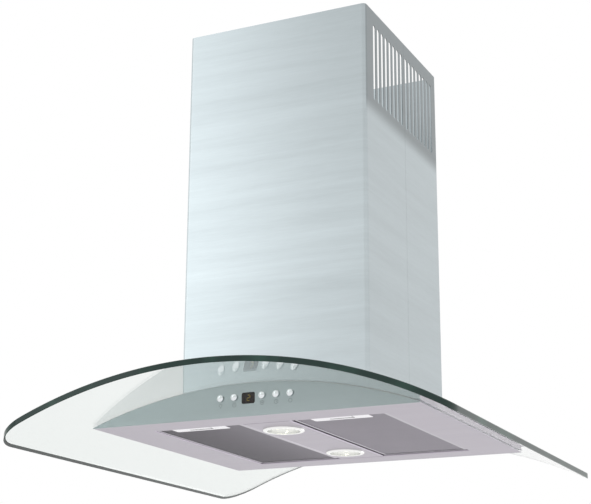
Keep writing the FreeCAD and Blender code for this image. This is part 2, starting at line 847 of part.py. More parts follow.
def glass_seals():
    """Strips on the top flanges that the glass lies on."""
    half = body_half_x - flange_side_stop
    front = -body_half_y + seal_inset
    strip = vault(arch_radius, glass_r - seal_relief, -half, half, front, front + seal_width)
    return Part.makeCompound([strip, strip.mirror(vec(0, 0, 0), AXIS_Y)])


def glass_washers():
    """Rubber washers over and under the glass at each bolt, ground to its curve."""
    group = []
    shell = {"over": (glass_top_r, saddle_r), "under": (deck_r, glass_r)}
    for low_r, high_r in shell.values():
        ring = at_glass_bolts(lambda y: crown_rod(washer_r, low_r - over, high_r + over, y))
        sheet = vault(low_r + washer_relief, high_r - washer_relief, -saddle_half_x,
                      saddle_half_x, -saddle_half_y, saddle_half_y)
        holes = bolt_holes(low_r - 2 * over, high_r + 2 * over)
        group += [piece.common(sheet).cut(holes) for piece in ring]
    return Part.makeCompound(group)


def hexagon(radius, start, height):
    """Hexagonal prism with its corners on a radius."""
    corners = []
    for i in range(7):
        turn = math.radians(60 * i)
        corners.append(start + vec(radius * math.cos(turn), radius * math.sin(turn), 0))
    return Part.Face(Part.makePolygon(corners)).extrude(vec(0, 0, height))


def glass_bolts():
    head_r = saddle_top_r + box_sheet
    tail_r = deck_r - deck_sheet - nut_thick - bolt_tail

    def bolt(y):
        head = hexagon(bolt_head_r, vec(0, y, arch_axis_z + head_r), bolt_head)
        return fuse([head, crown_rod(bolt_r, tail_r, head_r + over, y)])
    return Part.makeCompound(at_glass_bolts(bolt))


def glass_nuts():
    top_r = deck_r - deck_sheet - nut_seat_gap

    def nut(y):
        body = hexagon(nut_r, vec(0, y, arch_axis_z + top_r - nut_thick), nut_thick)
        return body.cut(crown_rod(bolt_r + nut_thread_gap, top_r - nut_thick - over, top_r + over, y))
    return Part.makeCompound(at_glass_bolts(nut))


# ---- blower housing
def blower_saddle():
    """Curved plate over the glass with a rectangular throat through glass and deck."""
    plate = vault(saddle_r, saddle_top_r, -saddle_half_x, saddle_half_x, -saddle_half_y,
                  saddle_half_y)
    low = arch_z(deck_r, 0) - deck_sheet - throat_below_deck
    throat = block(-throat_half_x, throat_half_x, -throat_half_y, throat_half_y, low,
                   arch_z(saddle_top_r, 0)).common(under_arch(saddle_top_r))
    t = throat_sheet
    air = block(-throat_half_x + t, throat_half_x - t, -throat_half_y + t, throat_half_y - t,
                low - over, 0)
    return fuse([plate, throat]).cut([air] + bolt_holes(saddle_r - over, saddle_top_r + over))


def angle_screw_places():
    """Heights of the screws that hold each angle to the box."""
    foot = arch_z(saddle_top_r, box_half_x) + angle_foot_gap
    return (box_top_z - screw_from_top, foot + screw_from_foot)


def blower_box():
    """Sheet box, open below, that stands on the saddle by two curved flanges."""
    t = box_sheet
    low = arch_z(saddle_top_r, box_half_x) - 2 * over
    outer = block(-box_half_x, box_half_x, -box_half_y, box_half_y, low, box_top_z)
    inner = block(-box_half_x + t, box_half_x - t, -box_half_y + t, box_half_y - t, low - over,
                  box_top_z - t)
    flange = vault(saddle_top_r, saddle_top_r + t, -box_half_x, box_half_x,
                   -box_half_y - box_flange, box_half_y + box_flange)
    shell = fuse([outer, flange]).cut([inner, under_arch(saddle_top_r)])
    half = scroll_half_x
    outlet = block(-half, half, outlet_y - outlet_width / 2, outlet_y + outlet_width / 2,
                   box_top_z - 2 * t, box_top_z + over)
    holes = bolt_holes(saddle_top_r - over, saddle_top_r + t + over)
    for z in angle_screw_places():
        for y in (-box_half_y + angle_leg / 2, box_half_y - angle_leg / 2):
            start = vec(box_half_x - 2 * t, y, z)
            holes += both_sides(rod(screw_r + screw_hole_gap, start, AXIS_X, 4 * t))
    return shell.cut([outlet] + holes)


def scroll_solid(extra, half_x):
    """Room of the scroll grown by a wall: a spiral drum with a straight upright outlet."""
    steps = 18
    points = []
    for i in range(steps + 1):
        share = i / steps
        turn = math.radians(scroll_tongue_deg + (360 - scroll_tongue_deg) * share)
        radius = scroll_start_r + (scroll_end_r - scroll_start_r) * share + extra
        points.append(vec(-half_x, fan_y + radius * math.cos(turn),
                          fan_z + radius * math.sin(turn)))
    spiral = Part.BSplineCurve()
    spiral.interpolate(points)
    chord = Part.makeLine(points[-1], points[0])
    drum = Part.Face(Part.Wire([spiral.toShape(), chord])).extrude(vec(2 * half_x, 0, 0))
    out_y = fan_y + scroll_end_r + extra
    in_y = fan_y + scroll_end_r - outlet_width - extra
    outlet = block(-half_x, half_x, in_y, out_y, fan_z, box_top_z - box_sheet)
    return fuse([drum, outlet])


def fan_scroll():
    """Volute shell with a round inlet in each side and its outlet under the box's top."""
    outer = scroll_solid(scroll_wall, scroll_half_x + scroll_wall)
    inner = scroll_solid(0.0, scroll_half_x)
    inlet = rod(inlet_r + inlet_sheet, vec(-box_half_x, fan_y, fan_z), AXIS_X, 2 * box_half_x)
    mouth = block(-scroll_half_x, scroll_half_x, fan_y + scroll_end_r - outlet_width,
                  fan_y + scroll_end_r, box_top_z - 3 * box_sheet, box_top_z)
    return outer.cut([inner, inlet, mouth])


def inlet_rings():
    """Bell mouth at each inlet, its lip reaching toward the wheel."""
    side = scroll_half_x + scroll_wall
    t = inlet_sheet
    flange = tube(inlet_r + inlet_flange, inlet_r, vec(side, fan_y, fan_z), AXIS_X, t)
    lip = tube(inlet_r + t, inlet_r, vec(side - inlet_lip, fan_y, fan_z), AXIS_X, inlet_lip + t)
    return Part.makeCompound(both_sides(fuse([flange, lip])))


def impeller():
    """Double-inlet wheel: forward-curved blades between end rings and a middle disc."""
    centre = vec(0, fan_y, fan_z)
    half = wheel_half_width
    pieces = [rod(wheel_r, centre - AXIS_X * (wheel_disc / 2), AXIS_X, wheel_disc),
              rod(hub_r, centre - AXIS_X * (hub_length / 2), AXIS_X, hub_length)]
    for x in (-half, half - wheel_ring):
        pieces.append(tube(wheel_r, wheel_r - wheel_ring_width, centre + AXIS_X * x, AXIS_X, wheel_ring))
    root_r = wheel_inner_r
    tip = wheel_r - blade_tip_inset
    mid = (root_r + tip) / 2
    lean = math.radians(blade_lean_deg)
    bow = lean * blade_bow_share

    def spot(radius, turn):
        return vec(-half, radius * math.cos(turn), radius * math.sin(turn))

    front = Part.Arc(spot(root_r, 0), spot(mid, bow), spot(tip, lean)).toShape()
    shift = blade_sheet / mid
    back = Part.Arc(spot(root_r, shift), spot(mid, bow + shift),
                    spot(tip, lean + shift)).toShape()
    ends = [Part.makeLine(spot(root_r, 0), spot(root_r, shift)),
            Part.makeLine(spot(tip, lean), spot(tip, lean + shift))]
    face = Part.Face(Part.Wire(Part.__sortEdges__([front, back] + ends)))
    blade = face.extrude(vec(2 * half, 0, 0))
    for i in range(blade_count):
        one = blade.copy()
        one.rotate(vec(0, 0, 0), AXIS_X, 360.0 * i / blade_count)
        one.translate(centre)
        pieces.append(one)
    bore = rod(shaft_r, centre - AXIS_X * hub_length, AXIS_X, 2 * hub_length)
    return fuse(pieces).cut(bore)


def fan_shaft():
    start = vec(-hub_length / 2 - shaft_past_hub, fan_y, fan_z)
    return rod(shaft_r, start, AXIS_X, motor_end_x - shaft_end_gap - start.x)


def fan_motor():
    """Motor inside the wheel's right half, bored for the shaft."""
    length = motor_end_x - motor_start_x
    body = rod(motor_r, vec(motor_start_x, fan_y, fan_z), AXIS_X, length)
    body = body.makeFillet(motor_edge, [e for e in body.Edges
                                        if e.Curve.TypeId == "Part::GeomCircle"
                                        and e.BoundBox.XMax < motor_start_x + pick_gap])
    bore = rod(shaft_r + running_clearance, vec(motor_start_x, fan_y, fan_z), AXIS_X,
               length - shaft_end_gap + shaft_bore_extra)
    return body.cut(bore)


def motor_bracket():
    """Plate on the motor's end with three arms bent back to the scroll's side."""
    t = bracket_sheet
    pieces = [rod(motor_r, vec(motor_end_x, fan_y, fan_z), AXIS_X, t)]
    side = scroll_half_x + scroll_wall
    foot_r = inlet_r + inlet_flange + bracket_foot_gap
    for i in range(bracket_arms):
        arm = block(motor_end_x, motor_end_x + t, -bracket_arm / 2, bracket_arm / 2, 0, foot_r)
        leg = block(side, motor_end_x + t, -bracket_arm / 2, bracket_arm / 2, foot_r - t, foot_r)
        foot = block(side, side + t, -bracket_arm / 2, bracket_arm / 2, foot_r - t,
                     foot_r + bracket_foot)
        limb = fuse([arm, leg, foot])
        limb.rotate(vec(0, 0, 0), AXIS_X, 90 + 360.0 * i / bracket_arms)
        limb.translate(vec(0, fan_y, fan_z))
        pieces.append(limb)
    return fuse(pieces)


# ---- duct collar
def rectangle_wire(grow, z):
    half_x = scroll_half_x + grow
    half_y = outlet_width / 2 + grow
    corners = [vec(half_x, outlet_y + half_y, z), vec(-half_x, outlet_y + half_y, z),
               vec(-half_x, outlet_y - half_y, z), vec(half_x, outlet_y - half_y, z)]
    return Part.makePolygon(corners + corners[:1])


def quartered_circle(radius, z):
    """Circle in four arcs, so that a loft ties each arc to one side of a rectangle."""
    arcs = []
    for quarter in range(4):
        turns = [math.radians(45 + 90 * quarter + step) for step in (0, 45, 90)]
        spots = [vec(radius * math.cos(a), radius * math.sin(a), z) for a in turns]
        arcs.append(Part.Arc(*spots).toShape())
    return Part.Wire(arcs)


def outlet_collar():
    """Foot plate, rectangle-to-round transition and the round spigot of the duct."""
    t = collar_sheet
    foot_z = box_top_z
    grow = collar_foot
    half_x = scroll_half_x + grow
    foot = block(-half_x, half_x, outlet_y - outlet_width / 2 - grow,
                 outlet_y + outlet_width / 2 + grow, foot_z, foot_z + t)
    taper = Part.makeLoft([rectangle_wire(t, foot_z + t), quartered_circle(collar_r, collar_z)],
                          True, True)
    spigot = rod(collar_r, vec(0, 0, collar_z), AXIS_Z, collar_height)
    inner_r = collar_r - t
    air_taper = Part.makeLoft([rectangle_wire(0, foot_z + t), quartered_circle(inner_r, collar_z)],
                              True, True)
    air = [block(-scroll_half_x, scroll_half_x, outlet_y - outlet_width / 2,
                 outlet_y + outlet_width / 2, foot_z - over, foot_z + t),
           air_taper, rod(inner_r, vec(0, 0, collar_z), AXIS_Z, collar_height + over)]
    stop_z = flap_z - flap_sheet / 2 - flap_stop_gap - flap_stop_height
    stop = tube(inner_r + t / 2, inner_r - flap_stop_width, vec(0, 0, stop_z), AXIS_Z,
                flap_stop_height)
    collar = fuse([fuse([foot, taper, spigot]).cut(air), stop])
    pins = [rod(flap_pin_r, vec(-collar_r - over, side * flap_pin_offset, flap_z), AXIS_X,
                2 * collar_r + 2 * over) for side in (-1, 1)]
    return collar.cut(pins)


def flap_pins():
    reach = collar_r - pin_end_inset
    return Part.makeCompound([rod(flap_pin_r, vec(-reach, side * flap_pin_offset, flap_z),
                                  AXIS_X, 2 * reach) for side in (-1, 1)])


def draught_flap(side):
    """Half-round flap with the sleeve that turns on its pin; side -1 is the front one."""
    radius = collar_r - collar_sheet - flap_rim_gap
    disc = rod(radius, vec(0, 0, flap_z - flap_sheet / 2), AXIS_Z, flap_sheet)
    keep = block(-collar_r, collar_r, side * flap_pin_offset, side * collar_r,
                 flap_z - flap_keep, flap_z + flap_keep)
    half_length = radius - flap_sleeve_stop
    start = vec(-half_length, side * flap_pin_offset, flap_z)
    sleeve = rod(flap_sleeve_r, start, AXIS_X, 2 * half_length)
    bore = rod(flap_pin_r + running_clearance, vec(-collar_r, side * flap_pin_offset, flap_z),
               AXIS_X, 2 * collar_r)
    return fuse([disc.common(keep), sleeve]).cut(bore)


# ---- hanger frame
def hanger_ring():
    """Flat frame with a down-turned skirt, drilled for the ceiling hangers."""
    plate = block(-ring_half_x, ring_half_x, -ring_half_y, ring_half_y, -ring_sheet, 0)
    skirt = block(-ring_half_x, ring_half_x, -ring_half_y, ring_half_y, -ring_skirt, 0)
    s = ring_skirt_sheet
    skirt = skirt.cut(block(-ring_half_x + s, ring_half_x - s, -ring_half_y + s,
                            ring_half_y - s, -ring_skirt - over, over))
    open_x = ring_half_x - ring_width
    open_y = ring_half_y - ring_width
    opening = rounded_block(-open_x, open_x, -open_y, open_y, -ring_sheet - over, over,
                            ring_opening_round)
    holes = []
    for y in (-hanger_half_y, hanger_half_y):
        hole = rod(hanger_hole_r, vec(hanger_half_x, y, -ring_sheet - over), AXIS_Z,
                   ring_sheet + 2 * over)
        holes += both_sides(hole)
    for x, y in angle_foot_places():
        holes.append(rod(screw_r + screw_hole_gap, vec(x, y, -ring_sheet - over), AXIS_Z,
                         ring_sheet + 2 * over))
    return fuse([plate, skirt]).cut([opening] + holes)


def angle_foot_places():
    """Where the top foot of each angle is screwed to the ring."""
    inset = angle_leg / 2 - angle_sheet
    return [(sx * (box_half_x - inset), sy * (box_half_y - inset))
            for sx in (-1, 1) for sy in (-1, 1)]


def hanger_angle(sx, sy):
    """Angle bar that hugs one corner of the blower box and ends in a foot under the ring."""
    t = angle_sheet
    low = arch_z(saddle_top_r, box_half_x) + angle_foot_gap
    top = -ring_sheet
    out_x = box_half_x + t
    out_y = box_half_y + t
    wide = block(out_x - angle_leg, out_x, box_half_y, out_y, low, top)
    deep = block(box_half_x, out_x, out_y - angle_leg, out_y, low, top)
    foot = block(out_x - angle_leg, out_x, out_y - angle_leg, out_y, top - t, top)
    inset = angle_leg / 2 - t
    holes = [rod(screw_r + screw_hole_gap, vec(box_half_x - inset, box_half_y - inset, top - 2 * t),
                 AXIS_Z, 3 * t)]
    for z in angle_screw_places():
        holes.append(rod(screw_r + screw_hole_gap,
                         vec(box_half_x - over, box_half_y - angle_leg / 2, z), AXIS_X, t + 2 * over))
    bar = fuse([wide, deep, foot]).cut(holes)
    if sx < 0:
        bar = bar.mirror(vec(0, 0, 0), AXIS_X)
    if sy < 0:
        bar = bar.mirror(vec(0, 0, 0), AXIS_Y)
    return bar


def hanger_angles():
    return Part.makeCompound([hanger_angle(sx, sy) for sx in (-1, 1) for sy in (-1, 1)])


def frame_screws():
    """Screws of the angles: one up through each foot, two into each side of the box."""
    group = []
    t = angle_sheet
    for x, y in angle_foot_places():
        foot_z = -ring_sheet - t
        head = rod(screw_head_r, vec(x, y, foot_z - screw_head), AXIS_Z, screw_head)
        shank = rod(screw_r, vec(x, y, foot_z - over), AXIS_Z, t + ring_sheet + over)
        group.append(fuse([head, shank]))
    face_x = box_half_x + t
    for z in angle_screw_places():
        for y in (-box_half_y + angle_leg / 2, box_half_y - angle_leg / 2):
            head = rod(screw_head_r, vec(face_x, y, z), AXIS_X, screw_head)
            shank_start = vec(box_half_x - box_sheet - screw_tail, y, z)
            shank = rod(screw_r, shank_start, AXIS_X, face_x + over - shank_start.x)
            group += both_sides(fuse([head, shank]))
    return Part.makeCompound(group)


def terminal_box():
    """Connection box on the back of the blower box, with a cable gland on top."""
    y0 = box_half_y
    top = -terminal_drop + terminal_height
    body = rounded_block(-terminal_half_x, terminal_half_x, y0, y0 + terminal_depth,
                         -terminal_drop, top, terminal_round, AXIS_Y)
    middle = vec(0, y0 + terminal_depth / 2, top - over)
    gland = rod(gland_r, middle, AXIS_Z, gland_height + over)
    bore = rod(gland_bore_r, middle, AXIS_Z, gland_height + 2 * over)
    return fuse([body, gland]).cut(bore)


# ---- chimney
def chimney_slots(first_y, last_y):
    """Row of upright slots with round ends, cut through both side walls."""
    slots = []
    r = slot_width / 2
    pitch = (last_y - first_y) / (slots_per_half - 1)
    for i in range(slots_per_half):
        y = first_y + pitch * i
        slot = rounded_block(-chimney_half_x - over, chimney_half_x + over, y - r, y + r,
                             slot_bottom, slot_top, slot_end_round, AXIS_X)
        slots.append(slot)
    return slots


def chimney_shell(side, open_y):
    """Three-sided sheet shell, open at open_y toward the other half; side -1 is in front."""
    t = chimney_sheet
    low = arch_z(glass_top_r, chimney_half_x) - 2 * over
    shells = []
    for inset, radius in ((0.0, chimney_bend), (t, chimney_bend - t)):
        end = side * (chimney_half_y - inset)
        reach = open_y - side * inset
        half = chimney_half_x - inset
        solid = block(-half, half, end, reach, low - inset, chimney_rise + inset)
        corners = [e for e in edges_along(solid, AXIS_Z)
                   if abs(e.BoundBox.YMin - end) < 0.01 and abs(e.BoundBox.YMax - end) < 0.01]
        shells.append(solid.makeFillet(radius, corners))
    foot = under_arch(glass_top_r + chimney_foot_gap)
    return shells[0].cut([shells[1], foot])


def chimney_front():
    shell = chimney_shell(-1, seam_y)
    return shell.cut(chimney_slots(-chimney_half_y + slot_front_corner,
                                   seam_y - slot_front_seam))


def chimney_rear():
    """Rear half; its side edges are joggled inward to lie behind the front half's."""
    start = seam_y + seam_gap
    shell = chimney_shell(1, start)
    t = chimney_sheet
    outer = chimney_half_x - t - lap_side_gap
    low = arch_z(glass_top_r, chimney_half_x) - 2 * over
    lap = block(outer - t, outer, start - seam_lap, start + seam_joggle, low, chimney_rise)
    step = block(outer - t, chimney_half_x - t / 2, start, start + seam_joggle, low, chimney_rise)
    sides = [side.cut(under_arch(glass_top_r + chimney_foot_gap))
             for side in both_sides(fuse([lap, step]))]
    return fuse([shell] + sides).cut(chimney_slots(seam_y + slot_rear_seam,
                                                   chimney_half_y - slot_rear_corner))


def chimney_clips():
    """Hooks inside the chimney halves that hang them on the hanger ring."""
    t = clip_sheet
    group = []
    for y in (-clip_y, clip_y):
        leg = block(inside_x - t, inside_x, y - clip_half_y, y + clip_half_y, -clip_leg, t)
        lip = block(inside_x - clip_lip, inside_x, y - clip_half_y, y + clip_half_y, 0, t)
        group += both_sides(fuse([leg, lip]))
    return Part.makeCompound(group)


# ---- one file for each sub-part
def lamp_nodes(name, y):
    return {"lamp_ring_" + name: lamp_ring(y), "lamp_lens_" + name: lamp_lens(y),
            "lamp_reflector_" + name: lamp_reflector(y), "lamp_bulb_" + name: lamp_bulb(y)}


def filter_nodes(name, side):
    return {"filter_frame_" + name: filter_frame(side), "filter_mesh_" + name: filter_mesh(side),
            "latch_plate_" + name: latch_plate(side), "latch_slider_" + name: latch_slider(side),
            "latch_spring_" + name: latch_spring(side)}


def all_nodes():
    nodes = {
        "underside_panel": underside_panel(), "front_panel": front_panel(),
        "rear_panel": rear_panel(), "top_deck": top_deck(), "lamp_strip": lamp_strip(),
        "glass_canopy": glass_canopy(), "glass_seals": glass_seals(),
        "glass_washers": glass_washers(), "glass_bolts": glass_bolts(),
        "glass_nuts": glass_nuts(), "blower_saddle": blower_saddle(),
        "blower_box": blower_box(), "fan_scroll": fan_scroll(), "inlet_rings": inlet_rings(),
        "impeller": impeller(), "fan_shaft": fan_shaft(), "fan_motor": fan_motor(),
        "motor_bracket": motor_bracket(), "outlet_collar": outlet_collar(),
        "flap_pins": flap_pins(), "flap_front": draught_flap(-1), "flap_rear": draught_flap(1),
        "hanger_ring": hanger_ring(), "hanger_angles": hanger_angles(),
        "frame_screws": frame_screws(), "terminal_box": terminal_box(),
        "chimney_front": chimney_front(), "chimney_rear": chimney_rear(),
        "chimney_clips": chimney_clips(), "control_housing": control_housing(),
        "control_board": control_board(), "switches": switches(),
        "display_module": display_module(), "display_window": display_window(),
    }
    for number, place in enumerate(button_places, start=1):
        nodes["button_" + str(number)] = push_button(place)
    nodes.update(lamp_nodes("front", lamp_front_y))
    nodes.update(lamp_nodes("rear", lamp_back_y))
    nodes.update(filter_nodes("left", LEFT))
    nodes.update(filter_nodes("right", RIGHT))
    return nodes


def main():
    for name, shape in all_nodes().items():
        shape.exportStep(os.path.join("parts", name + ".step"))
        box = shape.BoundBox
        print(f"{name:24s} solids {len(shape.Solids):2d} valid {shape.isValid()}"
              f" volume {shape.Volume:11.1f}"
              f" x {box.XMin:7.1f} {box.XMax:7.1f} y {box.YMin:7.1f} {box.YMax:7.1f}"
              f" z {box.ZMin:7.1f} {box.ZMax:7.1f}")


main()
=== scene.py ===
# %% [markdown]
# # A curved glass range hood, dressed for its portrait
# The solid model gives every sub-part its true place and size. Here each of them gets the
# finish of the real thing, and the few whose surface is finer than a solid needs to be, such
# as the mesh of the grease filters, are worked out again as surfaces.

# %% Load the solid model and keep its box
import json
import math

import bpy
import numpy as np
from mathutils import Matrix, Vector


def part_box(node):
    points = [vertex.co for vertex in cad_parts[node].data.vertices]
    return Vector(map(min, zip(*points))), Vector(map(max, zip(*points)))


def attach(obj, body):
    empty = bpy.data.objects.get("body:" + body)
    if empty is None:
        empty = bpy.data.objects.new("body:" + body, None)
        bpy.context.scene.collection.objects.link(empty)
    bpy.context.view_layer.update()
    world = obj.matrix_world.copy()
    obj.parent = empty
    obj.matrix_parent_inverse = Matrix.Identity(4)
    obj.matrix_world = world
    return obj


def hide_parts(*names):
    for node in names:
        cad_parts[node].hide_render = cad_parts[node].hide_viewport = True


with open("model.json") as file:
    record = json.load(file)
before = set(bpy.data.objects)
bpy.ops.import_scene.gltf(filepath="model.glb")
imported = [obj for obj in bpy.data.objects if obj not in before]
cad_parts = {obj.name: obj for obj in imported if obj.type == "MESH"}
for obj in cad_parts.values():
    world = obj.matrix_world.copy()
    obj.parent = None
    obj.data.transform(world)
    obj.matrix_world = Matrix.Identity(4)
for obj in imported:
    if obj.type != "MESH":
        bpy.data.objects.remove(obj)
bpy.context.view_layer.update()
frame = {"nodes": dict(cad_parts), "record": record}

nodes = frame["nodes"]
MM = 0.001

# %% [markdown]
# ## Camera
# The hood hangs above eye level, so it is seen from low on its right. The place, the three
# turns and the focal length come from matching straight edges of the body and the chimney.

# %% Place the camera
CAMERA_PLACE = Vector((1.0608, -2.3302, -0.9850))
CAMERA_YAW, CAMERA_PITCH, CAMERA_ROLL = (math.radians(a) for a in (25.37, 16.94, 0.29))
FOCAL_PIXELS, PICTURE_WIDTH, SENSOR = 1425.4, 591, 36.0

forward = Vector((-math.sin(CAMERA_YAW) * math.cos(CAMERA_PITCH),
                  math.cos(CAMERA_YAW) * math.cos(CAMERA_PITCH), math.sin(CAMERA_PITCH)))
level = Vector((math.cos(CAMERA_YAW), math.sin(CAMERA_YAW), 0.0))
upright = level.cross(forward)
right = level * math.cos(CAMERA_ROLL) + upright * math.sin(CAMERA_ROLL)
up = upright * math.cos(CAMERA_ROLL) - level * math.sin(CAMERA_ROLL)
camera = bpy.data.objects.new("camera", bpy.data.cameras.new("camera"))
camera.data.sensor_width = SENSOR
camera.data.lens = FOCAL_PIXELS / PICTURE_WIDTH * SENSOR
camera.data.clip_start, camera.data.clip_end = 0.05, 60.0
camera.matrix_world = Matrix.Translation(CAMERA_PLACE) @ Matrix(
    (right, up, -forward)).transposed().to_4x4()
bpy.context.scene.collection.objects.link(camera)
bpy.context.scene.camera = camera
print("focal length in mm:", round(camera.data.lens, 2))

# %% [markdown]
# ## Writing node trees
# A material is a tree of nodes. One short call adds a node, sets its options and fills its
# inputs, with a plain value or with a link from another node.

# %% A short way to add nodes
def put(tree, kind, inputs=None, **settings):
    """Adds a shader node; an input that is given a socket is linked, any other is set."""
    node = tree.nodes.new("ShaderNode" + kind)
    for key, value in settings.items():
        setattr(node, key, value)
    for key, value in (inputs or {}).items():
        if isinstance(value, bpy.types.NodeSocket):
            tree.links.new(value, node.inputs[key])
        else:
            node.inputs[key].default_value = value
    return node


def colour(code):
    """A screen colour such as "c8d2d8" as linear light: ((c + 0.055) / 1.055) to the 2.4."""
    parts = np.array([int(code[i:i + 2], 16) for i in (0, 2, 4)]) / 255.0
    linear = np.where(parts <= 0.04045, parts / 12.92, ((parts + 0.055) / 1.055) ** 2.4)
    return (*linear.tolist(), 1.0)


def maths(tree, operation, a, b=0.0, clamp=False):
    return put(tree, "Math", {0: a, 1: b}, operation=operation, use_clamp=clamp).outputs[0]


def smooth(tree, value, start, end, low=0.0, high=1.0):
    """Eases from low to high while value goes from start to end."""
    ease = put(tree, "MapRange", {"Value": value, "From Min": start, "From Max": end,
                                  "To Min": low, "To Max": high},
               interpolation_type="SMOOTHSTEP")
    return ease.outputs["Result"]


def times(tree, tint, factor):
    """A colour times a number that varies over the surface."""
    grey = put(tree, "CombineColor", {0: factor, 1: factor, 2: factor}).outputs[0]
    mix = put(tree, "Mix", {"Factor": 1.0, "A": tint, "B": grey}, data_type="RGBA",
              blend_type="MULTIPLY")
    return mix.outputs[2]


def blend_colours(tree, factor, a, b):
    mix = put(tree, "Mix", data_type="RGBA")
    for socket, value in zip((mix.inputs[0], mix.inputs[6], mix.inputs[7]), (factor, a, b)):
        if isinstance(value, bpy.types.NodeSocket):
            tree.links.new(value, socket)
        else:
            socket.default_value = value
    return mix.outputs[2]


# %% [markdown]
# ## Studio
# A white room: the world is white to the camera and in every reflection, and gives a plain
# even light. A large soft lamp stands where the chimney's front mirrors it, so that the
# brushed steel brightens toward its left edge, a brightening that the chimney's colour also
# carries as a painted highlight. The floor is 1.6 m under the hood, as in a kitchen.

# %% Light the studio
FLOOR_BELOW_UNDERSIDE = 1.6
WORLD_LIGHT = 0.85
underside_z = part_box("underside_panel")[0].z

world = bpy.data.worlds.new("white_room")
world.use_nodes = True
bpy.context.scene.world = world
tree = world.node_tree
tree.nodes.clear()
path = put(tree, "LightPath")
seen = maths(tree, "ADD", path.outputs["Is Camera Ray"],
             maths(tree, "ADD", path.outputs["Is Glossy Ray"],
                   path.outputs["Is Transmission Ray"]), clamp=True)
plain = put(tree, "Background", {"Color": (1, 1, 1, 1), "Strength": WORLD_LIGHT})
white = put(tree, "Background", {"Color": (1, 1, 1, 1), "Strength": 1.0})
mixed = put(tree, "MixShader", {0: seen, 1: plain.outputs[0], 2: white.outputs[0]})
put(tree, "OutputWorld", {"Surface": mixed.outputs[0]})


def soft_lamp(name, place, target, size, watts, tint=(1, 1, 1)):
    data = bpy.data.lights.new(name, "AREA")
    data.shape, data.size, data.size_y = "RECTANGLE", *size
    data.energy, data.color = watts, tint
    lamp = bpy.data.objects.new(name, data)
    lamp.location = place
    aim = Vector(target) - Vector(place)
    lamp.rotation_euler = aim.to_track_quat("-Z", "Y").to_euler()
    bpy.context.scene.collection.objects.link(lamp)
    return lamp


key_lamp = soft_lamp("key_lamp", (-2.0, -2.4, 0.9), (-0.1, 0, -0.2), (1.2, 2.4), 7,
                     (0.95, 0.98, 1.0))
low_lamp = soft_lamp("low_lamp", (0.9, 2.6, -1.7), (0.1, 0, -0.5), (1.4, 0.9), 5)
print("lamps:", key_lamp.data.energy, low_lamp.data.energy)

# %% [markdown]
# ## Surfaces from numbers
# Every new piece is a grid of points worked out as one array: rows follow one parameter and
# columns the other, and each quad joins four neighbours. A closed form is turned inside out
# when its signed volume comes out negative, so that its faces point outward.

# %% Turn a grid of points into a mesh
def signed_volume(points, faces):
    """Sum over the triangles of a fan on each face of a . (b x c) / 6."""
    total = 0.0
    for k in range(1, faces.shape[1] - 1):
        a, b, c = points[faces[:, 0]], points[faces[:, k]], points[faces[:, k + 1]]
        total += float(np.einsum("ij,ij->i", a, np.cross(b, c)).sum() / 6.0)
    return total


def mesh_piece(name, points, faces, body, closed=True, crease_deg=30.0):
    """A mesh object from points in metres; faces is an array with one row for each face."""
    points = np.asarray(points, float)
    if closed and signed_volume(points, faces) < 0:
        faces = faces[:, ::-1]
    mesh = bpy.data.meshes.new(name)
    mesh.from_pydata(points.tolist(), [], faces.tolist())
    mesh.shade_smooth()
    mesh.set_sharp_from_angle(angle=math.radians(crease_deg))
    piece = bpy.data.objects.new(name, mesh)
    bpy.context.scene.collection.objects.link(piece)
    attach(piece, body)
    print(f"{name}: {len(points)} points, {len(faces)} faces")
    return piece


def grid_quads(rows, cols, wrap_rows=False, wrap_cols=False):
    """Indices (i, j), (i, j+1), (i+1, j+1), (i+1, j) of each quad, wrapped where it closes."""
    i, j = np.meshgrid(np.arange(rows if wrap_rows else rows - 1),
                       np.arange(cols if wrap_cols else cols - 1), indexing="ij")
    i2, j2 = (i + 1) % rows, (j + 1) % cols
    return np.stack([i * cols + j, i * cols + j2, i2 * cols + j2, i2 * cols + j],
                    axis=-1).reshape(-1, 4)


# %% [markdown]
# ## Glass sheet
# The glass is one sheet of 9.5 mm, bent to an arch, with rounded corners and a polished edge.
# Its section, from the opening in its middle over the top, round the edge and back along the
# underside, is carried round the rounded outline, so the whole sheet is a single closed grid.
# The edge band is a finish of its own, because light that has run through the length of the
# sheet comes out dark green.

# %% Bend the glass
BODY_HALF_X, ARCH_CROWN, SIDE_HEIGHT = 300 * MM, 55.5 * MM, 1.3 * MM
ARCH_RISE = ARCH_CROWN - SIDE_HEIGHT
ARCH_RADIUS = (ARCH_RISE ** 2 + BODY_HALF_X ** 2) / (2 * ARCH_RISE)
SEAL, GLASS_THICK, GLASS_CORNER, ARRIS = 1.0 * MM, 9.5 * MM, 58 * MM, 1.0 * MM
HOLE_X, HOLE_Y, HOLE_CORNER = 138 * MM, 143 * MM, 6 * MM
glass_low, glass_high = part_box("glass_canopy")
GLASS_X, GLASS_Y = glass_high.x, glass_high.y
ARCH_AXIS_Z = underside_z + ARCH_CROWN - ARCH_RADIUS


def rounded_outline(half_x, half_y, corner, side_points=90, corner_points=24):
    """Rounded rectangle as a loop: four arcs of a quarter turn joined by straight sides."""
    rows = []
    quarter = np.linspace(0, math.pi / 2, corner_points)
    for k, (sx, sy) in enumerate(((1, 1), (-1, 1), (-1, -1), (1, -1))):
        turn = quarter + k * math.pi / 2
        arc = np.stack([sx * (half_x - corner) + corner * np.cos(turn),
                        sy * (half_y - corner) + corner * np.sin(turn)], axis=1)
        nx, ny = ((-1, 1), (-1, -1), (1, -1), (1, 1))[k]
        end = np.array([nx * (half_x - corner), ny * (half_y - corner)])
        start_turn = (k + 1) * math.pi / 2
        end = end + corner * np.array([math.cos(start_turn), math.sin(start_turn)])
        side = np.linspace(arc[-1], end, side_points + 2)[1:-1]
        rows += [arc, side]
    return np.vstack(rows)


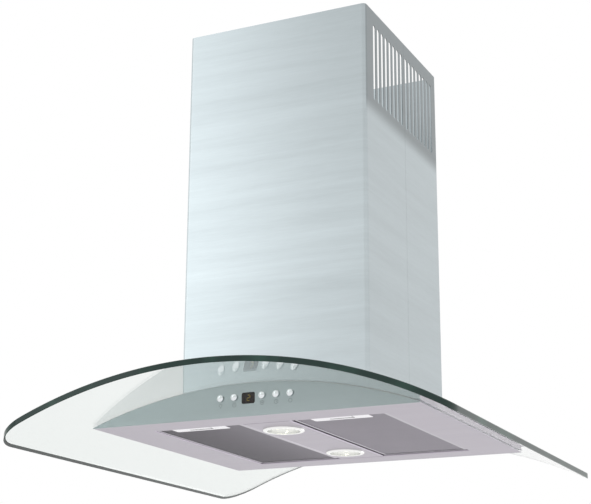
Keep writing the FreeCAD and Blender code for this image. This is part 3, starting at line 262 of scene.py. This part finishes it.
def arch_height(radius, x):
    """Height of the arch at x: the axis plus the square root of radius^2 - x^2."""
    return ARCH_AXIS_Z + np.sqrt(radius ** 2 - x ** 2)


low_r, high_r = ARCH_RADIUS + SEAL, ARCH_RADIUS + SEAL + GLASS_THICK
outer = rounded_outline(GLASS_X, GLASS_Y, GLASS_CORNER)
shrunk = rounded_outline(GLASS_X - ARRIS, GLASS_Y - ARRIS, GLASS_CORNER - ARRIS)
hole = rounded_outline(HOLE_X, HOLE_Y, HOLE_CORNER)
shares = np.linspace(0, 1, 22)
top_rows = [hole + (shrunk - hole) * s for s in shares]
plan = np.array(top_rows + [outer, outer] + top_rows[::-1])
radii = np.array([high_r] * len(shares) + [high_r, low_r] + [low_r] * len(shares))
drop = np.zeros(len(radii))
drop[len(shares)], drop[len(shares) + 1] = -ARRIS, ARRIS
height = arch_height(radii[:, None], plan[..., 0]) + drop[:, None]
glass_grid = np.concatenate([plan, height[..., None]], axis=-1)
glass = mesh_piece("glass_sheet", glass_grid.reshape(-1, 3),
                   grid_quads(*glass_grid.shape[:2], True, True), "hood")
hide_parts("glass_canopy")

# %% [markdown]
# ## Filter mesh
# A grease filter is faced with expanded metal: a sheet slit and stretched into small diamonds
# whose strands tilt. Each diamond is a ring of four strands round its hole, written once with
# a few faces and repeated at the points of a staggered lattice. Behind it lies a folded sheet
# that the grease runs down on.

# %% Stretch the expanded metal
DIAMOND_X, DIAMOND_Y, HOLE_SHARE = 5.6 * MM, 3.6 * MM, 0.60
STRAND_THICK, STRAND_TILT = 0.45 * MM, 0.32 * MM
BORDER = 6.0 * MM
FOLD_START, FOLD_DEPTH = 2.2 * MM, 4.0 * MM
POCKET_HALF, POCKET_BACK = 23.5 * MM, 22.7 * MM


def diamond_cell():
    """Twelve points: outer and inner diamond, low, then high; the inner ones tilt along y."""
    diamond = np.array([[0.5, 0], [0, 0.5], [-0.5, 0], [0, -0.5]])
    diamond = diamond * [DIAMOND_X, DIAMOND_Y]
    tilt = np.array([0, 1, 0, -1]) * STRAND_TILT
    outer_low = np.column_stack([diamond, np.zeros(4)])
    inner_low = np.column_stack([diamond * HOLE_SHARE, tilt])
    lift = np.array([0, 0, STRAND_THICK])
    points = np.vstack([outer_low, inner_low, outer_low + lift, inner_low + lift])
    k, n = np.arange(4), (np.arange(4) + 1) % 4
    low_faces = np.stack([k, n, 4 + n, 4 + k], axis=1)[:, ::-1]
    high_faces = np.stack([8 + k, 8 + n, 12 + n, 12 + k], axis=1)
    walls = np.stack([4 + k, 4 + n, 12 + n, 12 + k], axis=1)
    return points, np.vstack([low_faces, high_faces, walls])


def expanded_metal(name, side):
    """The cell repeated at (i, j) and (i + 1/2, j + 1/2) over the filter's window."""
    low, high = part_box("filter_mesh_" + side)
    mid_x = (low.x + high.x) / 2
    i = np.arange(0, (high.x - low.x) / DIAMOND_X + 1)
    j = np.arange(0, (high.y - low.y) / DIAMOND_Y + 1)
    centres = []
    for shift in (0.0, 0.5):
        gx, gy = np.meshgrid(low.x + (i + shift) * DIAMOND_X, low.y + (j + shift) * DIAMOND_Y)
        centres.append(np.column_stack([gx.ravel(), gy.ravel()]))
    centres = np.vstack(centres)
    inside = (centres[:, 0] < high.x) & (centres[:, 1] < high.y)
    pocket = (abs(centres[:, 0] - mid_x) < POCKET_HALF)
    pocket &= centres[:, 1] < low.y - BORDER + POCKET_BACK + DIAMOND_Y / 2
    centres = centres[inside & ~pocket]
    points, faces = diamond_cell()
    places = np.column_stack([centres, np.full(len(centres), low.z + STRAND_TILT)])
    all_points = (places[:, None, :] + points[None]).reshape(-1, 3)
    starts = np.arange(len(centres))[:, None, None] * len(points)
    all_faces = (faces[None] + starts).reshape(-1, 4)
    piece = mesh_piece(name, all_points, all_faces, "filter_" + side, closed=False)
    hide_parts("filter_mesh_" + side)
    return piece


def folded_sheet(name, side, folds=26, wall=0.5 * MM):
    """Height is a rounded wave in x: start plus depth times (1 - cos(2 pi x / pitch)) / 2."""
    low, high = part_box("filter_mesh_" + side)
    across = np.linspace(0, 1, folds * 8 + 1)
    x = low.x + (high.x - low.x) * across
    z = low.z + FOLD_START + FOLD_DEPTH * (1 - np.cos(2 * math.pi * folds * across)) / 2
    section = np.concatenate([np.column_stack([x, z]),
                              np.column_stack([x, z + wall])[::-1]])
    mid_y = low.y - BORDER + POCKET_BACK + 1 * MM
    rows = [np.column_stack([section[:, 0], np.full(len(section), y), section[:, 1]])
            for y in (mid_y, high.y)]
    points = np.vstack(rows)
    count = len(section)
    sides = grid_quads(2, count, False, True)
    half = count // 2
    k = np.arange(half - 1)
    caps = [np.stack([o + k, o + k + 1, o + count - 2 - k, o + count - 1 - k], axis=1)
            for o in (0, count)]
    caps[0] = caps[0][:, ::-1]
    piece = mesh_piece(name, points, np.vstack([sides] + caps), "filter_" + side)
    return piece


filter_faces = [expanded_metal("filter_screen_" + s, s) for s in ("left", "right")]
filter_cores = [folded_sheet("filter_core_" + s, s) for s in ("left", "right")]

# %% [markdown]
# ## Lamps
# Each lamp is a halogen spot: a polished trim ring, a clear cover, and a faceted reflector
# with a lit capsule in its neck. The reflector is a dish whose radius follows a parabola-like
# curve, cut into flat facets so that it breaks the light up.

# %% Spin the faceted reflectors
FACETS, FACET_ROWS = 18, 5
DISH_NECK, DISH_WALL = 8.0 * MM, 0.8 * MM


def faceted_dish(name, end):
    """Radius from mouth to neck as mouth - (mouth - neck) * h^1.8 for h from 0 to 1."""
    low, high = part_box("lamp_reflector_" + end)
    centre = (low + high) / 2
    mouth = (high.x - low.x) / 2
    h = np.linspace(0, 1, FACET_ROWS + 1)
    radius = mouth - (mouth - DISH_NECK) * h ** 1.8
    inner = np.column_stack([radius - DISH_WALL, low.z + (high.z - low.z - DISH_WALL) * h])
    outer_side = np.column_stack([radius, low.z + (high.z - low.z) * h])
    section = np.vstack([inner, outer_side[::-1]])
    turn = np.linspace(0, 2 * math.pi, FACETS, endpoint=False)
    grid = np.stack([centre.x + section[:, None, 0] * np.cos(turn),
                     centre.y + section[:, None, 0] * np.sin(turn),
                     np.broadcast_to(section[:, None, 1], (len(section), FACETS))], axis=-1)
    piece = mesh_piece(name, grid.reshape(-1, 3), grid_quads(len(section), FACETS, True, True),
                       "hood", crease_deg=1.0)
    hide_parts("lamp_reflector_" + end)
    return piece


reflectors = [faceted_dish("lamp_dish_" + end, end) for end in ("front", "rear")]

# %% [markdown]
# ## Marks on the control panel
# Under each button is a small outline: a lamp, a minus, a plus, a clock face and a ring. They
# are printed, so each is a thin band with a rectangular section carried along its outline.

# %% Print the button marks
MARK_Z = underside_z + 20.6 * MM
MARK_WIDTH, MARK_FILM = 0.55 * MM, 0.06 * MM
panel_face_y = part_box("front_panel")[0].y


def printed_line(path, closed):
    """Band of constant width along a path in the plane of the panel, with its own thickness."""
    path = np.asarray(path, float) * MM
    ahead = np.roll(path, -1, axis=0) - path
    back = path - np.roll(path, 1, axis=0)
    if not closed:
        ahead[-1], back[0] = back[-1], ahead[0]
    way = ahead / np.linalg.norm(ahead, axis=1, keepdims=True)
    way = way + back / np.linalg.norm(back, axis=1, keepdims=True)
    way /= np.linalg.norm(way, axis=1, keepdims=True)
    side = np.column_stack([-way[:, 1], way[:, 0]]) * MARK_WIDTH / 2
    corners = []
    for sign, depth in ((1, 0.0), (1, -MARK_FILM), (-1, -MARK_FILM), (-1, 0.0)):
        flat = path + sign * side
        corners.append(np.column_stack([flat[:, 0], np.full(len(flat), depth), flat[:, 1]]))
    grid = np.stack(corners, axis=1)
    faces = grid_quads(len(path), 4, closed, True)
    if not closed:
        last = (len(path) - 1) * 4
        faces = np.vstack([faces, [[3, 2, 1, 0]], [[last, last + 1, last + 2, last + 3]]])
    points = grid.reshape(-1, 3)
    if signed_volume(points, faces) < 0:
        faces = faces[:, ::-1]
    return points, faces


def ring_path(radius, start=0.0, end=360.0, count=40, centre=(0.0, 0.0)):
    whole = abs(end - start) >= 360
    turn = np.radians(np.linspace(start, end, count, endpoint=not whole))
    return np.column_stack([centre[0] + radius * np.cos(turn), centre[1] + radius * np.sin(turn)])


lamp_mark = [(ring_path(2.6, -50, 230, 30, (0, 0.7)), False),
             ([(-1.3, -2.4), (1.3, -2.4)], False), ([(-1.0, -3.6), (1.0, -3.6)], False)]
minus_mark = [(ring_path(3.4), True), ([(-1.8, 0), (1.8, 0)], False)]
plus_mark = minus_mark + [([(0, -1.8), (0, 1.8)], False)]
clock_mark = [(ring_path(3.4), True), ([(0, 2.0), (0, 0), (1.5, -0.9)], False)]
power_mark = [(ring_path(3.2), True)]


def print_marks():
    blocks, count = ([], []), 0
    for number, mark in enumerate((lamp_mark, minus_mark, plus_mark, clock_mark, power_mark), 1):
        low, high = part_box(f"button_{number}")
        middle = np.array([(low.x + high.x) / 2, panel_face_y, MARK_Z])
        for path, closed in mark:
            points, faces = printed_line(path, closed)
            blocks[0].append(points + middle)
            blocks[1].append(faces + count)
            count += len(points)
    return mesh_piece("panel_marks", np.vstack(blocks[0]), np.vstack(blocks[1]), "hood",
                      closed=False)


marks = print_marks()

# %% [markdown]
# ## Display digit
# The display shows one dim figure behind smoked plastic. Its bars are flat hexagons, placed as
# in the usual pattern of seven, and only the five of the figure that is shown are made.

# %% Lay the bars of the figure
BAR_LENGTH, BAR_WIDTH = 4.6 * MM, 1.0 * MM
window_low, window_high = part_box("display_window")
BARS = {"top": (0, 2, 0), "middle": (0, 0, 0), "bottom": (0, -2, 0),
        "upper_right": (1, 1, 90), "lower_left": (-1, -1, 90)}


def bar_points(place_x, place_z, turn_deg, slant=0.1):
    """Hexagon of the bar's length and width, turned, placed and leaned by slant times z."""
    half, w = BAR_LENGTH / 2 * 0.9, BAR_WIDTH / 2
    flat = np.array([(-half, 0), (-half + w, w), (half - w, w), (half, 0), (half - w, -w),
                     (-half + w, -w)])
    turn = math.radians(turn_deg)
    spin = np.array([[math.cos(turn), math.sin(turn)], [-math.sin(turn), math.cos(turn)]])
    flat = flat @ spin + np.array([place_x, place_z]) * BAR_LENGTH / 2
    flat[:, 0] += slant * flat[:, 1]
    return flat


def display_figure():
    middle_x, middle_z = 0.8 * MM, (window_low.z + window_high.z) / 2
    points, faces = [], []
    for number, (x, z, turn) in enumerate(BARS.values()):
        flat = bar_points(x, z, turn)
        for depth in (0.0, -MARK_FILM):
            points.append(np.column_stack([middle_x + flat[:, 0],
                                           np.full(6, window_low.y + depth),
                                           middle_z + flat[:, 1]]))
        start = number * 12
        k, n = np.arange(6), (np.arange(6) + 1) % 6
        faces.append(start + np.stack([k, n, 6 + n, 6 + k], axis=1))
        for base, order in ((0, -1), (6, 1)):
            faces.append(start + base + np.array([[0, 1, 2, 3], [0, 3, 4, 5]])[:, ::order])
    return mesh_piece("display_figure", np.vstack(points), np.vstack(faces), "hood",
                      closed=False)


figure = display_figure()

# %% [markdown]
# ## Brushed steel
# The steel is drawn past an abrasive belt, which leaves fine lines that all run one way. The
# effect is one node group: noise stretched along the brushing, at three widths of line. It
# gives out a shade, a height for the bump and a change of roughness.

# %% Build the group for brushed lines
def new_group(name, inputs, outputs):
    group = bpy.data.node_groups.new(name, "ShaderNodeTree")
    for in_out, sockets in (("INPUT", inputs), ("OUTPUT", outputs)):
        for label, kind in sockets.items():
            group.interface.new_socket(label, in_out=in_out, socket_type="NodeSocket" + kind)
    return group, group.nodes.new("NodeGroupInput"), group.nodes.new("NodeGroupOutput")


def brushed_lines_group():
    """Shade = 1 + broad * n1 + lines * n2 + grain * n3, each noise from -1 to 1."""
    group, given, result = new_group(
        "brushed_lines",
        {"Place": "Vector", "Stretch": "Vector", "Broad": "Float", "Lines": "Float",
         "Grain": "Float"},
        {"Shade": "Float", "Height": "Float", "Roughness": "Float"})
    place = put(group, "VectorMath", {0: given.outputs["Place"], 1: given.outputs["Stretch"]},
                operation="MULTIPLY").outputs[0]
    swings = []
    for scale, detail in ((0.25, 2.0), (1.0, 3.0), (6.0, 2.0)):
        noise = put(group, "TexNoise", {"Vector": place, "Scale": scale, "Detail": detail,
                                        "Roughness": 0.6}).outputs["Fac"]
        swings.append(maths(group, "MULTIPLY_ADD", noise, 2.0))
        swings[-1].node.inputs[2].default_value = -1.0
    shade = None
    for swing, label in zip(swings, ("Broad", "Lines", "Grain")):
        part = maths(group, "MULTIPLY", swing, given.outputs[label])
        shade = maths(group, "ADD", part, shade if shade else 1.0)
    height = maths(group, "ADD", swings[2], maths(group, "MULTIPLY", swings[1], 0.6))
    group.links.new(shade, result.inputs["Shade"])
    group.links.new(height, result.inputs["Height"])
    group.links.new(swings[1], result.inputs["Roughness"])
    return group


BRUSHED = brushed_lines_group()


def new_material(name):
    material = bpy.data.materials.new(name)
    material.use_nodes = True
    tree = material.node_tree
    tree.nodes.clear()
    bsdf = put(tree, "BsdfPrincipled")
    put(tree, "OutputMaterial", {"Surface": bsdf.outputs[0]})
    place = put(tree, "TexCoord").outputs["Object"]
    return material, tree, bsdf, place


def brushed(name, tint, stretch, broad=0.05, lines=0.05, grain=0.05, roughness=0.33,
            painted_light=None):
    """Brushed metal; an optional function paints light and shade into the colour by place."""
    material, tree, bsdf, place = new_material(name)
    group = put(tree, "Group", node_tree=BRUSHED)
    tree.links.new(place, group.inputs["Place"])
    group.inputs["Stretch"].default_value = stretch
    for label, value in (("Broad", broad), ("Lines", lines), ("Grain", grain)):
        group.inputs[label].default_value = value
    shade = group.outputs["Shade"]
    # Painted light and shade multiply the brushed tone here.
    if painted_light:
        shade = maths(tree, "MULTIPLY", shade, painted_light(tree, place))
    tree.links.new(times(tree, colour(tint), shade), bsdf.inputs["Base Color"])
    rough = maths(tree, "MULTIPLY_ADD", group.outputs["Roughness"], 0.06)
    rough.node.inputs[2].default_value = roughness
    tree.links.new(rough, bsdf.inputs["Roughness"])
    bump = put(tree, "Bump", {"Height": group.outputs["Height"], "Strength": 0.12,
                              "Distance": 0.0002})
    tree.links.new(bump.outputs[0], bsdf.inputs["Normal"])
    bsdf.inputs["Metallic"].default_value = 1.0
    return material


def axes(tree, place):
    return put(tree, "SeparateXYZ", {0: place}).outputs


# %% [markdown]
# ## Chimney, panel and underside
# The chimney is brushed across, so its lines run level round all four sides. Its front has a
# painted highlight toward the left edge, and its sides have painted shade round the vent slots.

# %% Make the steels
CHIMNEY_X, SIDE_FROM = 178.5 * MM, 176.5 * MM
# Painted light: highlight at the front's left, shade up the front, shade on sides and vents.
VENT_PAINTED_SHADE_FROM, VENT_PAINTED_SHADE_TO = -25 * MM, 12 * MM
FRONT_LEFT_PAINTED_LIGHT, FRONT_RIGHT_PAINTED_LIGHT, FRONT_TOP_PAINTED_SHADE = 1.18, 0.98, 0.86
SIDE_PAINTED_SHADE, VENT_PAINTED_SHADE = 0.93, 0.52


def chimney_painted_light(tree, place):
    """Painted light: front lighter to the left, darker upward; sides darker, most at the vents.
    """
    x, _, z = axes(tree, place)
    across = smooth(tree, x, -CHIMNEY_X, CHIMNEY_X, FRONT_LEFT_PAINTED_LIGHT, FRONT_RIGHT_PAINTED_LIGHT)
    upward = smooth(tree, z, -0.25, 0.19, 1.0, FRONT_TOP_PAINTED_SHADE)
    front = maths(tree, "MULTIPLY", across, upward)
    reach = maths(tree, "ABSOLUTE", x)
    side = smooth(tree, reach, SIDE_FROM, CHIMNEY_X)
    painted_vent_shade = smooth(tree, z, VENT_PAINTED_SHADE_FROM, VENT_PAINTED_SHADE_TO, 1.0, VENT_PAINTED_SHADE)
    painted_vent_shade = maths(tree, "MULTIPLY", painted_vent_shade, SIDE_PAINTED_SHADE)
    return put(tree, "Mix", {"Factor": side, "A": front, "B": painted_vent_shade}).outputs[0]


ACROSS_WALLS, ALONG_UNDERSIDE = (6.0, 6.0, 120.0), (6.0, 120.0, 6.0)
# The chimney steel's colour carries a painted highlight and painted shade.
chimney_steel = brushed("chimney_steel", "bfc8cb", ACROSS_WALLS, 0.10, 0.06, 0.05,
                        painted_light=chimney_painted_light)
panel_steel = brushed("panel_steel", "a6b1b2", ACROSS_WALLS, 0.03, 0.02, 0.03)
underside_steel = brushed("underside_steel", "b4adb8", ALONG_UNDERSIDE, 0.05, 0.05, 0.05)
galvanised = brushed("galvanised", "a3a7a8", (40.0, 40.0, 40.0), 0.12, 0.08, 0.03, 0.42)
zinc_steel = brushed("zinc_steel", "b2b2ad", (150.0, 150.0, 150.0), 0.05, 0.04, 0.03, 0.3)
spring_steel = brushed("spring_steel", "8f9092", (20.0, 20.0, 900.0), 0.05, 0.05, 0.05, 0.3)

# %% [markdown]
# ## Aluminium, chrome and plastic
# The filters are anodised aluminium, with painted shade on the left one, which faces away
# from the light.
# Bright parts are chrome with a faint haze. Plastics have a fine moulded grain.

# %% Make the other finishes
def filter_painted_light(tree, place):
    """Painted shade: one fade over both meshes, from the shaded left one to the lit right one."""
    return smooth(tree, axes(tree, place)[0], -0.21, 0.06, 0.42, 1.0)


filter_aluminium = brushed("filter_aluminium", "b9b5bd", (120.0, 6.0, 120.0), 0.03, 0.03, 0.03,
                           0.3)
# The filter mesh colour carries painted shade, darkest on the left filter.
filter_metal = brushed("filter_metal", "a49fa8", (60.0, 60.0, 60.0), 0.06, 0.06, 0.05, 0.36,
                       painted_light=filter_painted_light)


def polished(name, tint, roughness=0.08):
    """Chrome: smooth metal whose roughness wanders a little, as handling leaves it."""
    material, tree, bsdf, place = new_material(name)
    haze = put(tree, "TexNoise", {"Vector": place, "Scale": 60.0, "Detail": 3.0}).outputs["Fac"]
    tree.links.new(smooth(tree, haze, 0.3, 0.8, roughness, roughness * 2),
                   bsdf.inputs["Roughness"])
    spots = smooth(tree, haze, 0.2, 0.9, 0.97, 1.0)
    tree.links.new(times(tree, colour(tint), spots), bsdf.inputs["Base Color"])
    bsdf.inputs["Metallic"].default_value = 1.0
    return material


def moulded(name, tint, roughness=0.5, grain=900.0, depth=0.1):
    """Plastic or rubber: a fine grain in the bump and a slight wander of the colour."""
    material, tree, bsdf, place = new_material(name)
    fine = put(tree, "TexNoise", {"Vector": place, "Scale": grain, "Detail": 2.0}).outputs["Fac"]
    wide = put(tree, "TexNoise", {"Vector": place, "Scale": 25.0, "Detail": 3.0}).outputs["Fac"]
    tree.links.new(times(tree, colour(tint), smooth(tree, wide, 0.2, 0.8, 0.92, 1.06)),
                   bsdf.inputs["Base Color"])
    tree.links.new(smooth(tree, wide, 0.2, 0.8, roughness * 0.9, roughness * 1.1),
                   bsdf.inputs["Roughness"])
    bump = put(tree, "Bump", {"Height": fine, "Strength": depth, "Distance": 0.0001})
    tree.links.new(bump.outputs[0], bsdf.inputs["Normal"])
    return material


bright_plate = polished("bright_plate", "f2f0f4", 0.12)
lamp_chrome = polished("lamp_chrome", "f4f4f2", 0.07)
button_chrome = polished("button_chrome", "e4e8ea", 0.06)
display_tint = moulded("display_tint", "1c110d", 0.12, 300.0, 0.0)
black_plastic = moulded("black_plastic", "1b1c1d")
grey_plastic = moulded("grey_plastic", "74777a")
board_green = moulded("board_green", "1e4a2c", 0.35)
rubber_pad = moulded("rubber_pad", "c4c8c6", 0.6)
mark_ink = moulded("mark_ink", "6f7676", 0.5)

# %% [markdown]
# ## Glass and light
# Clear float glass is faintly green. Where it is seen through its thickness it lets nearly
# all light pass, and at its edge the light that comes out is dark green. The lamp's capsule
# and the display figure give light of their own.

# %% Make glass, lens and light
def clear(name, tint, roughness=0.0, index=1.5):
    material, tree, bsdf, place = new_material(name)
    film = put(tree, "TexNoise", {"Vector": place, "Scale": 4.0, "Detail": 2.0}).outputs["Fac"]
    tree.links.new(times(tree, colour(tint), smooth(tree, film, 0.2, 0.8, 0.99, 1.0)),
                   bsdf.inputs["Base Color"])
    bsdf.inputs["Roughness"].default_value = roughness
    bsdf.inputs["Transmission Weight"].default_value = 1.0
    bsdf.inputs["IOR"].default_value = index
    return material


def edge_green(name, deep, light):
    """Polished edge of the sheet: deep green with paler streaks that run along the edge."""
    material, tree, bsdf, place = new_material(name)
    streak = put(tree, "TexNoise", {"Vector": place, "Scale": 14.0, "Detail": 3.0}).outputs["Fac"]
    tree.links.new(blend_colours(tree, smooth(tree, streak, 0.45, 0.8), colour(deep),
                                 colour(light)), bsdf.inputs["Base Color"])
    bsdf.inputs["Roughness"].default_value = 0.08
    bsdf.inputs["Specular IOR Level"].default_value = 0.35
    return material


def glowing(name, tint, strength, spread=0.15):
    material, tree, bsdf, place = new_material(name)
    wander = put(tree, "TexNoise", {"Vector": place, "Scale": 80.0}).outputs["Fac"]
    glow = times(tree, colour(tint), smooth(tree, wander, 0.2, 0.8, 1 - spread, 1.0))
    tree.links.new(glow, bsdf.inputs["Emission Color"])
    tree.links.new(glow, bsdf.inputs["Base Color"])
    bsdf.inputs["Emission Strength"].default_value = strength
    bsdf.inputs["Roughness"].default_value = 0.4
    return material


clear_glass = clear("clear_glass", "edf1ef")
glass_edge = edge_green("glass_edge", "14302a", "2d5246")
lamp_glass = clear("lamp_glass", "f6f7f2", 0.02)
lamp_capsule = glowing("lamp_capsule", "fffbe8", 12.0)
figure_glow = glowing("figure_glow", "8a7a3a", 0.25)

# %% [markdown]
# ## Dress every sub-part
# A sub-part that keeps its solid gets its finish in place of the one it came with. The glass
# sheet has two: the band round its edge is the green one.

# %% Give each piece its finish
def dress(piece, *finishes):
    piece.data.materials.clear()
    for finish in finishes:
        piece.data.materials.append(finish)


FINISH = {"chimney_steel": chimney_steel, "panel_steel": panel_steel,
          "underside_steel": underside_steel, "galvanised": galvanised,
          "clear_glass": clear_glass, "filter_aluminium": filter_aluminium,
          "filter_mesh": filter_metal, "bright_plate": bright_plate,
          "lamp_chrome": lamp_chrome, "lamp_glass": lamp_glass, "lamp_capsule": lamp_capsule,
          "button_chrome": button_chrome, "display_tint": display_tint,
          "black_plastic": black_plastic, "grey_plastic": grey_plastic,
          "board_green": board_green, "rubber_pad": rubber_pad, "zinc_steel": zinc_steel,
          "spring_steel": spring_steel}
for part in frame["record"]["subparts"]:
    dress(nodes[part["node"]], FINISH[part["material_slot"]])

dress(glass, clear_glass, glass_edge)
rings_of_glass, around = glass_grid.shape[:2]
edge_rows = np.zeros(rings_of_glass, int)
edge_rows[len(shares) - 1:len(shares) + 2] = 1
glass.data.polygons.foreach_set("material_index", np.repeat(edge_rows, around))
for piece in filter_faces + filter_cores:
    dress(piece, filter_metal)
for piece in reflectors:
    dress(piece, lamp_chrome)
dress(marks, mark_ink)
dress(figure, figure_glow)
print("finishes:", len(bpy.data.materials))

# %% [markdown]
# ## Floor
# A wide pale floor lies well below the hood. It is white in reflections, as the room is, and
# shows its own shading and shadows to the camera.

# %% Lay the floor
FLOOR_HALF = 8.0
floor_z = underside_z - FLOOR_BELOW_UNDERSIDE
floor_mesh = bpy.data.meshes.new("floor")
floor_mesh.from_pydata([(-FLOOR_HALF, -FLOOR_HALF, floor_z), (FLOOR_HALF, -FLOOR_HALF, floor_z),
                        (FLOOR_HALF, FLOOR_HALF, floor_z), (-FLOOR_HALF, FLOOR_HALF, floor_z)],
                       [], [(0, 1, 2, 3)])
floor = bpy.data.objects.new("floor", floor_mesh)
bpy.context.scene.collection.objects.link(floor)
floor_material = bpy.data.materials.new("floor_white")
floor_material.use_nodes = True
tree = floor_material.node_tree
tree.nodes.clear()
paint = put(tree, "BsdfDiffuse", {"Color": (0.9, 0.9, 0.9, 1)})
glow = put(tree, "Emission", {"Color": (1, 1, 1, 1), "Strength": 1.0})
path = put(tree, "LightPath")
seen = maths(tree, "ADD", path.outputs["Is Glossy Ray"], path.outputs["Is Transmission Ray"],
             clamp=True)
mixed = put(tree, "MixShader", {0: seen, 1: paint.outputs[0], 2: glow.outputs[0]})
put(tree, "OutputMaterial", {"Surface": mixed.outputs[0]})
floor.data.materials.append(floor_material)

bpy.context.scene.view_settings.view_transform = "Standard"
